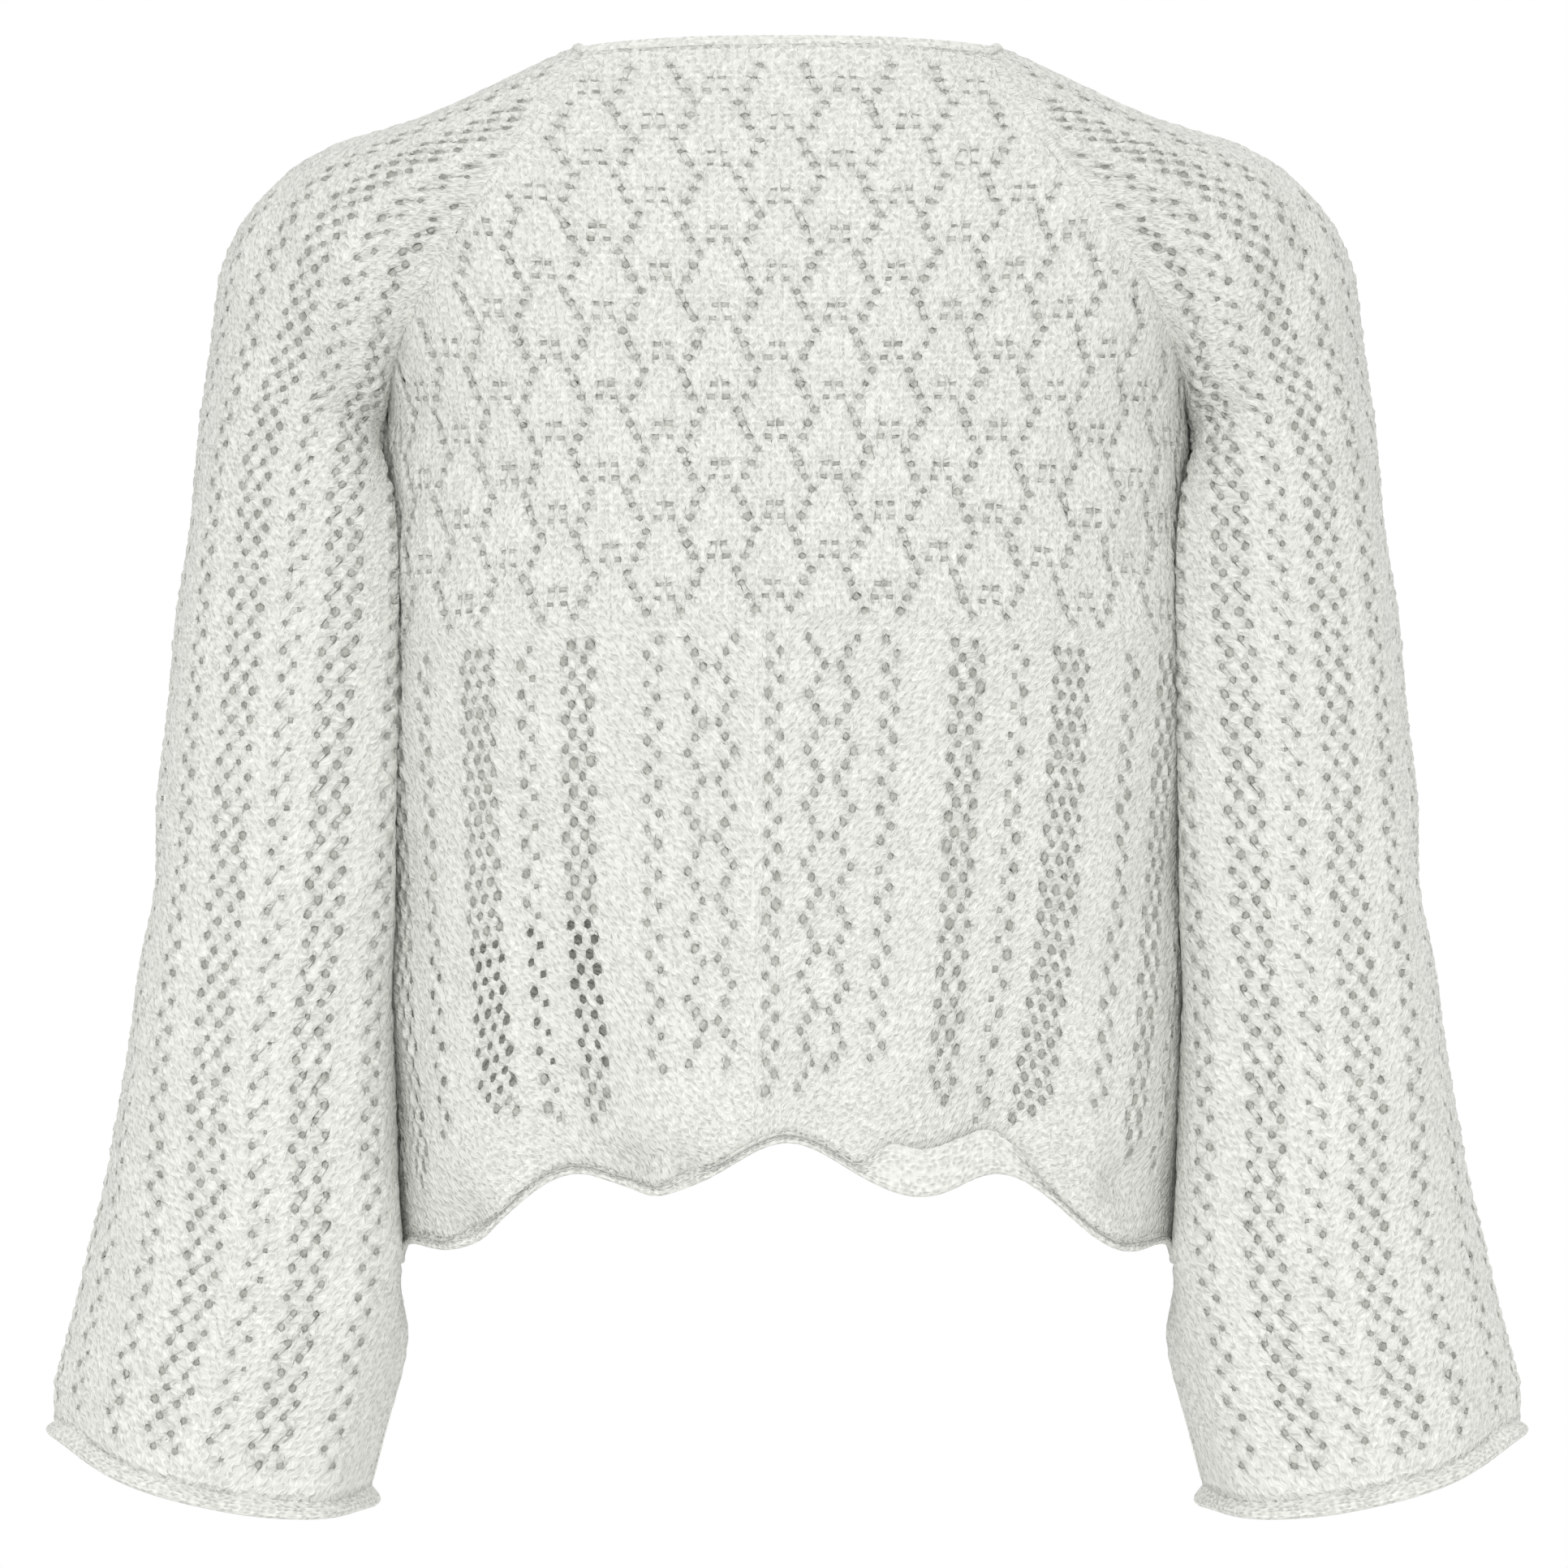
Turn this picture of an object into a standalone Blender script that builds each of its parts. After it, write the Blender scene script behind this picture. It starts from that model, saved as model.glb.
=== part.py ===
"""A cropped raglan pullover in open-work knit, worn and hollow, with wide sleeves and a scalloped hem.

The cloth is five pieces: a back, a front, two sleeves and a neckband, with a plain label inside the neck.
Each is a thin closed wall lofted through rows that run round the garment, so that neck, hem, cuffs and
armholes stay open. +Z is up and +X is the wearer's right. The back faces -Y. The origin is the inner face
of the back neck, where the wearer's nape holds the garment up.
"""
import bpy
import numpy as np

# The cloth, in metres
WALL = 0.002            # thickness of the knitted cloth
SEAM_GAP = 0.0003       # clearance between two pieces at a seam
SIDE_DRAW_IN = 0.0002   # how far an edge moves back from a side seam
RAGLAN_DRAW_IN = 0.00035    # and from a raglan seam, which rows cross at a slant
SLEEVE_CLEARANCE = 0.0034   # between the middles of sleeve wall and body wall where the arm hangs close

# Grid of each piece
YOKE_ROWS = 9           # rows from the neck edge to the underarm
BODY_ROWS = 12          # rows from the underarm to the rolled hem
ARM_ROWS = 13           # rows from the underarm to the rolled cuff
BELOW_HEM_ROW = 1.862   # one more row of the sleeve, where it swings in under the hem
PANEL_COLUMNS = 40      # columns across a back or front
SLEEVE_COLUMNS = 24     # columns round a sleeve
DENSE = 97              # points of a row before its columns are spaced evenly

# The raglan seams run from the neck corner to the underarm, each one cubic Bezier in (x, y, z)
UNDERARM = (0.176, 0.085, -0.168)
BACK_RAGLAN = ((0.0875, 0.020, -0.0070), (0.110, -0.012, -0.056), (0.168, -0.030, -0.100), UNDERARM)
FRONT_RAGLAN = ((0.074, 0.098, -0.042), (0.108, 0.156, -0.074), (0.167, 0.152, -0.110), UNDERARM)

# Centre line of a panel's yoke: row from 0 at the neck to 1 at the underarm, y, z and the arc's half
# angle in degrees
YOKE_FIELDS = ("row", "y", "z", "half_angle")
BACK_YOKE = (
    (0.00, 0.000, -0.0045, 50.0),
    (0.25, -0.011, -0.045, 52.0),
    (0.50, -0.022, -0.085, 58.0),
    (0.75, -0.029, -0.127, 72.0),
    (1.00, -0.032, -0.168, 90.0),
)
FRONT_YOKE = (
    (0.00, 0.126, -0.074, 50.0),
    (0.25, 0.146, -0.096, 54.0),
    (0.50, 0.166, -0.119, 60.0),
    (0.75, 0.182, -0.143, 73.0),
    (1.00, 0.192, -0.168, 90.0),
)

# The torso below the underarm: height, half width at the side seam, y of the back and y of the front
TORSO_FIELDS = ("z", "half_width", "back", "front")
TORSO = (
    (-0.168, 0.1760, -0.032, 0.192),
    (-0.250, 0.1775, -0.034, 0.203),
    (-0.340, 0.1770, -0.031, 0.203),
    (-0.430, 0.1745, -0.028, 0.200),
    (-0.530, 0.1670, -0.027, 0.200),
)
ROUNDNESS = 2.4         # exponent of the torso's section: 2 is an ellipse

# The hem: ten scallops round the body, two and a half from the middle of a panel to its side seam
HEM_Z = -0.4730         # at the middle of the back and of the front
HEM_SIDE_DROP = 0.0397  # how much lower the sides hang
SCALLOPS_TO_SIDE = 2.5
SCALLOP_DEPTH = 0.018
SCALLOP_FLARE = 0.0060  # the lobes stand out from the body, the arches draw in
SCALLOP_START = 0.45    # share of the way from underarm to hem where the waves begin
HEM_ROLL = 0.0045       # height of the rolled edge
HEM_ROLL_BULGE = 0.0012
HEM_CLEARANCE = 0.0022  # more room between sleeve and body beside the rolled hem
HEM_CLEARANCE_TOP = -0.453  # where that room begins
HEM_CLEARANCE_RUN = 0.04
BELOW_HEM_Z = -0.533    # the sleeve is free of the body from here on
BELOW_HEM_RUN = 0.014
BELOW_HEM_REACH = 0.05

# The sleeve's outer outline from neck to cuff, as seen from behind: run along it, x and z
OUTLINE_FIELDS = ("row", "x", "z")
SHOULDER_LINE = (
    (0.00, 0.0925, -0.0030),
    (0.20, 0.1325, -0.0212),
    (0.35, 0.1665, -0.0350),
    (0.50, 0.2010, -0.0465),
    (0.555, 0.2135, -0.0532),
    (0.63, 0.2280, -0.0675),
    (0.76, 0.2425, -0.0930),
    (1.00, 0.2535, -0.1500),
)
# The arm below the underarm, from 1 at the underarm to 2 at the cuff: outer x and z, inner x and z,
# half depth and the y of its middle
ARM_FIELDS = ("row", "outer_x", "outer_z", "inner_x", "inner_z", "half_depth", "middle_y")
ARM = (
    (1.00, 0.2535, -0.1500, 0.1760, -0.1680, 0.062, 0.085),
    (1.10, 0.2575, -0.1960, 0.1660, -0.2060, 0.062, 0.078),
    (1.30, 0.2680, -0.2850, 0.1665, -0.2880, 0.061, 0.075),
    (1.50, 0.2765, -0.3700, 0.1680, -0.3780, 0.060, 0.073),
    (1.70, 0.2882, -0.4560, 0.1690, -0.4670, 0.059, 0.073),
    (1.80, 0.2957, -0.5020, 0.1610, -0.5160, 0.058, 0.074),
    (1.90, 0.3090, -0.5550, 0.1685, -0.5750, 0.057, 0.077),
    (1.95, 0.3155, -0.5810, 0.1760, -0.6040, 0.056, 0.079),
    (2.00, 0.3172, -0.6040, 0.1850, -0.6385, 0.056, 0.080),
)
ARM_ROUNDNESS = 2.7     # exponent of the arm's section where it lies against the body
ARM_ROUNDING = 0.08     # rows below the underarm over which the section takes that shape
CUFF_ROUNDNESS = 2.2
BELL_START = 1.6        # row where the section begins to turn into the cuff's
CUFF_SAG = 0.013        # the bell's front and back hang this much below its sides
CUFF_WAVES = 5
CUFF_WAVE = 0.0022      # soft flutes of the bell at the cuff
CUFF_WAVE_SHIFT = 0.3
CUFF_WAVE_START = 1.55  # row where the flutes begin
CUFF_WAVE_EDGE = 0.25   # share of half a turn over which they fade towards the inner side
CUFF_ROLL = 0.009       # height of the rolled edge
CUFF_ROLL_BULGE = 0.0022
CUFF_ROLL_TOP = 0.6     # height of the roll's fullest line, as a share of its height
ARC_AT_NECK = 65.0      # half angle of the sleeve's arc at the neck, in degrees
ARC_OPENING = 1.6       # exponent of its growth to a closed ring at the underarm
ARC_FILL = 0.2          # how much a short arc swells past its chord
PUSH_SOFTNESS = 0.002   # rounds the line where the sleeve meets the body's clearance

# Soft folds of a sleeve: row and turn (-1 back seam, 0 outer side, 1 front seam) where each starts and
# where it ends, half width in rows and depth
TURN_IN_ROWS = 0.4      # half a turn is as long as this many rows
FOLD_END = 0.15         # a fold is shallow at its ends: where on a half sine wave it starts and stops
SLEEVE_FOLDS = (
    (0.98, -0.86, 0.62, -0.30, 0.050, 0.0050),
    (1.04, -0.80, 0.86, -0.22, 0.050, 0.0040),
    (1.14, -0.72, 1.10, -0.20, 0.045, 0.0025),
    (0.98, 0.86, 0.60, 0.34, 0.050, 0.0050),
    (1.05, 0.78, 0.88, 0.24, 0.050, 0.0040),
    (1.47, -0.15, 1.56, 0.42, 0.050, 0.0030),
    (1.50, -0.95, 1.62, -0.50, 0.050, 0.0025),
    (1.58, 0.80, 1.50, 0.35, 0.045, 0.0030),
)

# Soft drag folds of the back and of the front below the armpit, the same on both sides: x and z where
# each starts and where it ends, half width and depth
PANEL_FOLDS = (
    (0.166, -0.158, 0.112, -0.196, 0.013, 0.0032),
    (0.170, -0.192, 0.124, -0.246, 0.012, 0.0024),
    (0.168, -0.350, 0.135, -0.420, 0.015, 0.0020),
)
FOLD_TO_SEAM = 0.10     # share of a panel's half width over which its folds fade out to the seam

# The neckband and the label inside the back neck
BAND_HEIGHT = 0.0045
BAND_THICKNESS = 0.0034
BAND_CLEARANCE = 0.0005
BAND_SIDES = 8
BAND_STEP = 2           # one section of the band for every second column of the pieces
LABEL_WIDTH = 0.033
LABEL_HEIGHT = 0.042
LABEL_DROP = 0.004      # from the neck edge to the label's top
LABEL_THICKNESS = 0.001
LABEL_GRID = (8, 7)
LABEL_COLUMNS = 6       # columns of the back on each side of its middle that the label follows

YARN = (0.80, 0.80, 0.76)
SATIN = (0.72, 0.71, 0.76)


def unit(vectors):
    """The same vectors at length one."""
    return vectors / np.maximum(np.linalg.norm(vectors, axis=-1, keepdims=True), 1e-12)


def through(table, fields, field, at):
    """One column of a table at any place along its first column, on a smooth curve through its rows."""
    rows = np.array(table)
    x, y = rows[:, 0], rows[:, fields.index(field)]
    if x[0] > x[-1]:
        x, y = x[::-1], y[::-1]
    slope = np.gradient(y, x)
    at = np.clip(at, x[0], x[-1])
    k = np.clip(np.searchsorted(x, at, side="right") - 1, 0, len(x) - 2)
    step = x[k + 1] - x[k]
    t = (at - x[k]) / step
    return ((1 + 2 * t) * (1 - t) ** 2 * y[k] + t * (1 - t) ** 2 * step * slope[k]
            + t * t * (3 - 2 * t) * y[k + 1] + t * t * (t - 1) * step * slope[k + 1])


def bezier(points, t):
    """A point of a cubic Bezier."""
    a, b, c, d = np.array(points)
    return (1 - t) ** 3 * a + 3 * t * (1 - t) ** 2 * b + 3 * t * t * (1 - t) * c + t ** 3 * d


def power(value, exponent):
    """A signed power, for the sections between an ellipse and a rounded box."""
    return np.sign(value) * np.abs(value) ** exponent


def ease(t):
    """Rises smoothly from 0 to 1."""
    t = np.clip(t, 0.0, 1.0)
    return t * t * (3 - 2 * t)


def evenly(points, count):
    """The same line with its points equally far apart."""
    run = np.concatenate([[0.0], np.cumsum(np.linalg.norm(np.diff(points, axis=0), axis=1))])
    at = np.linspace(0.0, run[-1], count)
    return np.stack([np.interp(at, run, points[:, k]) for k in range(3)], axis=1)


def panel_arc(centre, edge, half_angle):
    """A row of a panel, from its left edge round its middle to its right edge."""
    exponent = 2.0 / ROUNDNESS
    half_angle = np.radians(half_angle)
    angle = np.linspace(-half_angle, half_angle, DENSE)
    reach = power(np.sin(half_angle), exponent)
    rest = power(np.cos(half_angle), exponent) if half_angle < np.pi / 2 - 1e-6 else 0.0
    across = power(np.sin(angle), exponent) / reach
    depth = (1.0 - np.abs(np.cos(angle)) ** exponent) / (1.0 - rest)
    height = (angle / half_angle) ** 2
    return np.stack([
        edge[0] * across,
        centre[1] + (edge[1] - centre[1]) * depth,
        centre[2] + (edge[2] - centre[2]) * height,
    ], axis=1)


def yoke_row(yoke, raglan, row):
    """A panel's row above the underarm."""
    y, z, half_angle = (through(yoke, YOKE_FIELDS, field, row) for field in YOKE_FIELDS[1:])
    return evenly(panel_arc((0.0, y, z), bezier(raglan, row), half_angle), PANEL_COLUMNS + 1)


def hem_z(across):
    """Height of the hem at a place across a panel, -1 and 1 at its side seams. It falls away within the
    lobes and is level at the arches between them."""
    count = SCALLOPS_TO_SIDE * across
    stepped = (count - np.sin(2 * np.pi * count) / (2 * np.pi)) / SCALLOPS_TO_SIDE
    fall = HEM_SIDE_DROP * np.sin(np.pi / 2 * stepped) ** 2
    return HEM_Z - fall - SCALLOP_DEPTH * np.sin(np.pi * count) ** 2


def torso_row(face, share):
    """A panel's row below the underarm: share is 0 at the underarm and 1 at the hem's edge."""
    across = np.linspace(-1.0, 1.0, PANEL_COLUMNS + 1)
    wave = ease((share - SCALLOP_START) / (1.0 - SCALLOP_START))
    height = UNDERARM[2] + (HEM_Z - UNDERARM[2]) * share + (hem_z(across) - HEM_Z) * share * wave
    half_width = through(TORSO, TORSO_FIELDS, "half_width", height[0])
    middle = through(TORSO, TORSO_FIELDS, face, height[PANEL_COLUMNS // 2])
    row = evenly(panel_arc((0.0, middle, 0.0), (half_width, UNDERARM[1], 0.0), 90.0), PANEL_COLUMNS + 1)
    row[:, 2] = height
    lobes = np.sin(np.pi * SCALLOPS_TO_SIDE * across) ** 2 - 0.5
    outward = unit(row * (1.0, 1.0, 0.0) - (0.0, UNDERARM[1], 0.0))
    row += outward * (SCALLOP_FLARE * wave ** 2 * lobes * (1.0 - across ** 6))[:, None]
    return row


def body_clearance(y, z):
    """How far out from the middle a sleeve has to stay at this y and z to lie beside the body."""
    level = np.clip(z, TORSO[-1][0], TORSO[0][0])
    half_width = through(TORSO, TORSO_FIELDS, "half_width", level)
    face = np.where(y < UNDERARM[1], through(TORSO, TORSO_FIELDS, "back", level),
                    through(TORSO, TORSO_FIELDS, "front", level))
    depth = np.clip(np.abs((y - UNDERARM[1]) / (face - UNDERARM[1])), 0.0, 1.0)
    side = half_width * (1.0 - depth ** ROUNDNESS) ** (1.0 / ROUNDNESS)
    at_hem = ease((HEM_CLEARANCE_TOP - z) / HEM_CLEARANCE_RUN) * HEM_CLEARANCE
    below_hem = ease((BELOW_HEM_Z - z) / BELOW_HEM_RUN) * BELOW_HEM_REACH
    return side + SLEEVE_CLEARANCE + at_hem - below_hem


def sleeve_row(row):
    """A row of the right sleeve, from the back seam over the outer side to the front seam. Below the
    underarm it is a closed ring that starts and ends at the inner side."""
    turn = np.linspace(-1.0, 1.0, DENSE)
    if row <= 1.0:
        back, front = bezier(BACK_RAGLAN, row), bezier(FRONT_RAGLAN, row)
        chord = (front[1] - back[1]) / 2
        swell = ARC_FILL * chord + ARM[0][5] * row ** 4
        half_angle = np.radians(ARC_AT_NECK + (180.0 - ARC_AT_NECK) * row ** ARC_OPENING)
        lift = (np.cos(half_angle * turn) - np.cos(half_angle)) / (1.0 - np.cos(half_angle))
        apex = np.array([through(SHOULDER_LINE, OUTLINE_FIELDS, axis, row) for axis in ("x", "z")])
        base = (back[[0, 2]] + front[[0, 2]]) / 2
        slant = (front[[0, 2]] - back[[0, 2]]) / 2
        flat = base + lift[:, None] * (apex - base) + power(turn, 2.0)[:, None] * slant
        y = (back[1] + front[1]) / 2 + chord * turn + swell * np.sin(np.pi * turn)
        return evenly(np.stack([flat[:, 0], y, flat[:, 1]], axis=1), SLEEVE_COLUMNS + 1)
    size = {field: through(ARM, ARM_FIELDS, field, row) for field in ARM_FIELDS[1:]}
    in_arm = ease((row - 1.0) / ARM_ROUNDING)
    in_bell = ease((row - BELL_START) / (2.0 - BELL_START))
    roundness = 2.0 + (ARM_ROUNDNESS - 2.0) * in_arm + (CUFF_ROUNDNESS - ARM_ROUNDNESS) * in_bell
    lift = (1.0 + power(np.cos(np.pi * turn), 2.0 / roundness)) / 2
    depth = power(np.sin(np.pi * turn), 2.0 / roundness)
    x = size["inner_x"] + (size["outer_x"] - size["inner_x"]) * lift
    z = size["inner_z"] + (size["outer_z"] - size["inner_z"]) * lift
    z = z - CUFF_SAG * (row - 1.0) ** 2 * np.sin(np.pi * turn) ** 2
    y = size["middle_y"] + size["half_depth"] * depth
    clear = body_clearance(y, z)
    pushed = (x + clear + np.sqrt((x - clear) ** 2 + PUSH_SOFTNESS ** 2)) / 2
    x = np.where(lift < 0.5, pushed, x)
    return evenly(np.stack([x, y, z], axis=1), SLEEVE_COLUMNS + 1)


def fold_depth(places, folds):
    """How far soft folds sink at each place of a grid: each runs from one place to another."""
    depth = np.zeros(places.shape[:-1])
    for first_a, second_a, first_b, second_b, half_width, sink in folds:
        start = np.array([first_a, second_a])
        way = np.array([first_b, second_b]) - start
        from_start = places - start
        along = np.clip(from_start @ way / (way @ way), 0.0, 1.0)
        off = np.linalg.norm(from_start - along[..., None] * way, axis=-1)
        swell = np.sin(np.pi * (FOLD_END + (1 - 2 * FOLD_END) * along))
        depth += sink * np.exp(-(off / half_width) ** 2) * swell
    return depth


def grid_normals(grid, outward_from):
    """The normals of a grid of rows, pointing away from a point inside each row."""
    down = np.gradient(grid, axis=0)
    across = np.gradient(grid, axis=1)
    normals = unit(np.cross(down, across))
    flip = np.sum((grid - outward_from) * normals, axis=-1).mean() < 0
    return -normals if flip else normals


def panel_grid(face):
    """The middle surface of the back or front: rows from neck to hem, columns from left to right."""
    yoke, raglan = (BACK_YOKE, BACK_RAGLAN) if face == "back" else (FRONT_YOKE, FRONT_RAGLAN)
    rows = [yoke_row(yoke, raglan, row) for row in np.linspace(0.0, 1.0, YOKE_ROWS + 1)]
    length = UNDERARM[2] - HEM_Z
    shares = np.linspace(0.0, 1.0 - HEM_ROLL / length, BODY_ROWS + 1)[1:]
    rows += [torso_row(face, share) for share in (*shares, 1.0)]
    grid = np.array(rows)
    across = np.abs(np.linspace(-1.0, 1.0, PANEL_COLUMNS + 1))
    sink = fold_depth(np.abs(grid[..., [0, 2]]) * (1.0, -1.0), PANEL_FOLDS)
    return grid - panel_normals(grid) * (sink * ease((1.0 - across) / FOLD_TO_SEAM))[..., None]


def sleeve_grid():
    """The middle surface of the right sleeve: rows from neck to cuff, columns from back to front."""
    roll = CUFF_ROLL / (ARM[0][2] - ARM[-1][2])
    yoke = np.linspace(0.0, 1.0, YOKE_ROWS + 1)
    arm = np.linspace(1.0, 2.0 - roll, ARM_ROWS + 1)[1:]
    places = np.array(sorted([*yoke, *arm, BELOW_HEM_ROW, 2.0 - CUFF_ROLL_TOP * roll, 2.0]))
    grid = np.array([sleeve_row(row) for row in places])
    rows, turns = np.meshgrid(places, np.linspace(-1.0, 1.0, SLEEVE_COLUMNS + 1), indexing="ij")
    waves = CUFF_WAVE * np.sin(np.pi * (CUFF_WAVES * turns + CUFF_WAVE_SHIFT))
    waves *= ease((rows - CUFF_WAVE_START) / (2.0 - CUFF_WAVE_START))
    waves *= ease((1.0 - np.abs(turns)) / CUFF_WAVE_EDGE)
    folds = [(a, b * TURN_IN_ROWS, c, d * TURN_IN_ROWS, *rest) for a, b, c, d, *rest in SLEEVE_FOLDS]
    sink = fold_depth(np.stack([rows, turns * TURN_IN_ROWS], axis=-1), folds)
    grid = grid + sleeve_normals(grid) * (waves - sink)[..., None]
    closed = rows[:, 0] >= 1.0
    grid[closed, -1] = grid[closed, 0]
    return grid


def sleeve_normals(grid):
    """Outward normals of the sleeve, the same on both sides of its closed seam."""
    middle = grid.mean(axis=1, keepdims=True)
    normals = grid_normals(grid, middle)
    closed = slice(YOKE_ROWS, None)
    seam = unit(normals[closed, 0] + normals[closed, -1])
    normals[closed, 0] = seam
    normals[closed, -1] = seam
    return normals


def panel_normals(grid):
    """Outward normals of a panel."""
    middle = grid.mean(axis=1, keepdims=True) * (0.0, 0.0, 1.0)
    return grid_normals(grid, middle + (0.0, UNDERARM[1], 0.0))


def seat_sleeve(panel_normals, sleeve, sleeve_normals, columns):
    """Moves the sleeve's edge clear of a panel's edge. Where the cloth folds back on itself, as at the
    underarm, the two walls lie side by side. Where it turns the other way, the edge draws in."""
    edge, neighbour = columns
    for row, facing in enumerate(panel_normals):
        way = unit(sleeve[row, neighbour] - sleeve[row, edge])
        rise = float(way @ facing)
        turned = 1.0 - float(facing @ sleeve_normals[row, edge])
        if rise > 0:
            sleeve[row, edge] += facing * (WALL / 2 * turned + SEAM_GAP)
        else:
            sleeve[row, edge] -= way * WALL / 2 * rise


def draw_in(grid, columns, rows, distance):
    """Moves an edge column back from its seam."""
    edge, neighbour = columns
    grid[rows, edge] += unit(grid[rows, neighbour] - grid[rows, edge]) * distance


def wall(name, grid, normals, extra, closed_from=None):
    """A closed wall on both sides of a middle surface, thicker on its outer side by extra. From row
    closed_from on, the first and the last column are the same line, and the wall is a tube."""
    rows, columns = grid.shape[:2]
    outer = grid + normals * (WALL / 2 + extra)[..., None]
    inner = grid - normals * WALL / 2
    points = np.concatenate([outer.reshape(-1, 3), inner.reshape(-1, 3)])
    side = rows * columns

    def at(row, column, layer):
        if closed_from is not None and row >= closed_from and column == columns - 1:
            column = 0
        return layer * side + row * columns + column

    def strip(start, end):
        """The face that closes the wall along an edge from one place of the grid to the next."""
        return at(*start, 0), at(*end, 0), at(*end, 1), at(*start, 1)

    faces = []
    for r in range(rows - 1):
        for c in range(columns - 1):
            faces.append((at(r, c, 0), at(r, c + 1, 0), at(r + 1, c + 1, 0), at(r + 1, c, 0)))
            faces.append((at(r, c, 1), at(r + 1, c, 1), at(r + 1, c + 1, 1), at(r, c + 1, 1)))
    for c in range(columns - 1):
        faces.append(strip((0, c + 1), (0, c)))
        faces.append(strip((rows - 1, c), (rows - 1, c + 1)))
    for r in range(rows - 1 if closed_from is None else closed_from):
        faces.append(strip((r, 0), (r + 1, 0)))
        faces.append(strip((r + 1, columns - 1), (r, columns - 1)))
    return cloth_object(name, points, faces)


def cloth_object(name, points, faces):
    """An object from points and faces, without unused points and with its faces pointing outwards."""
    mesh = bpy.data.meshes.new(name)
    used = sorted({index for face in faces for index in face})
    place = {index: k for k, index in enumerate(used)}
    faces = [[place[index] for index in face] for face in faces]
    mesh.from_pydata([tuple(points[index]) for index in used], [], faces)
    mesh.update()
    co = np.array([v.co for v in mesh.vertices])
    mesh.calc_loop_triangles()
    corners = co[np.array([t.vertices for t in mesh.loop_triangles])]
    volume = np.einsum("ij,ij->i", corners[:, 0], np.cross(corners[:, 1], corners[:, 2])).sum()
    if volume < 0:
        mesh.flip_normals()
    mesh.shade_smooth()
    return bpy.data.objects.new(name, mesh)


def edge_bulge(grid, edge_rows, bulge):
    """Extra thickness of the outer side over the last rows, for a rolled edge."""
    extra = np.zeros(grid.shape[:2])
    extra[-edge_rows:] = bulge
    return extra


def mirrored(grid):
    """A grid on the other side of the garment."""
    return grid * (-1.0, 1.0, 1.0)


def loop_of_neck(back, front, sleeve, normals):
    """Points, outward normals and upward directions once round the neck edge, from the left back corner
    over the right side and along the front to the left side again."""
    back_n, front_n, sleeve_n = normals
    pieces = (
        (back, back_n, slice(None)),
        (sleeve, sleeve_n, slice(None)),
        (front, front_n, slice(None, None, -1)),
        (mirrored(sleeve), mirrored(sleeve_n), slice(None, None, -1)),
    )
    points = np.concatenate([grid[0, order][:-1] for grid, _, order in pieces])
    outward = np.concatenate([normal[0, order][:-1] for _, normal, order in pieces])
    upward = np.concatenate([unit(grid[0, order] - grid[1, order])[:-1] for grid, _, order in pieces])
    for _ in range(3):
        upward = unit(np.roll(upward, 1, axis=0) + 2 * upward + np.roll(upward, -1, axis=0))
        outward = unit(np.roll(outward, 1, axis=0) + 2 * outward + np.roll(outward, -1, axis=0))
    return points, outward, upward


def neckband(points, outward, upward):
    """The rounded band that edges the neck, standing on the pieces' top edges."""
    middle = (points + upward * (BAND_CLEARANCE + BAND_HEIGHT / 2))[::BAND_STEP]
    stretch = 1.0 / np.cos(np.pi / BAND_SIDES)
    outward = outward[::BAND_STEP] * BAND_THICKNESS / 2 * stretch
    upward = upward[::BAND_STEP] * BAND_HEIGHT / 2 * stretch
    angles = (np.arange(BAND_SIDES) + 0.5) * 2 * np.pi / BAND_SIDES
    rings = [middle + outward * np.cos(angle) + upward * np.sin(angle) for angle in angles]
    count = len(middle)
    ring_points = np.stack(rings, axis=1).reshape(-1, 3)
    faces = []
    for i in range(count):
        for k in range(BAND_SIDES):
            j, m = (i + 1) % count, (k + 1) % BAND_SIDES
            faces.append((i * BAND_SIDES + k, i * BAND_SIDES + m, j * BAND_SIDES + m, j * BAND_SIDES + k))
    return cloth_object("neckband", ring_points, faces)


def neck_label(back, normals):
    """A small blank label that lies on the inner side of the back neck."""
    rows, columns = LABEL_GRID
    across = np.linspace(-LABEL_WIDTH / 2, LABEL_WIDTH / 2, columns + 1)
    down = -LABEL_DROP - np.linspace(0.0, LABEL_HEIGHT, rows + 1)
    middle = PANEL_COLUMNS // 2
    fine = slice(middle - LABEL_COLUMNS, middle + LABEL_COLUMNS + 1)
    yoke = slice(0, YOKE_ROWS + 1)
    grid = np.zeros((rows + 1, columns + 1, 3))
    facing = np.zeros_like(grid)
    for r, depth in enumerate(down):
        for c, x in enumerate(across):
            heights = back[yoke, middle, 2] - back[0, middle, 2]
            row = np.interp(-depth, -heights, np.arange(YOKE_ROWS + 1))
            low = min(int(row), YOKE_ROWS - 1)
            line = back[low, fine] * (1 - row + low) + back[low + 1, fine] * (row - low)
            turn = normals[low, fine] * (1 - row + low) + normals[low + 1, fine] * (row - low)
            grid[r, c] = [np.interp(x, line[:, 0], line[:, k]) for k in range(3)]
            facing[r, c] = [np.interp(x, line[:, 0], turn[:, k]) for k in range(3)]
    facing = unit(facing)
    grid = grid - facing * (WALL / 2 + SEAM_GAP)
    return wall("neck_label", grid, facing, np.full(grid.shape[:2], LABEL_THICKNESS - WALL))


def knit(name, colour, roughness):
    """A matte cloth finish."""
    material = bpy.data.materials.new(name)
    material.use_nodes = True
    shader = material.node_tree.nodes["Principled BSDF"]
    shader.inputs["Base Color"].default_value = (*colour, 1.0)
    shader.inputs["Roughness"].default_value = roughness
    shader.inputs["Metallic"].default_value = 0.0
    return material


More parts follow.
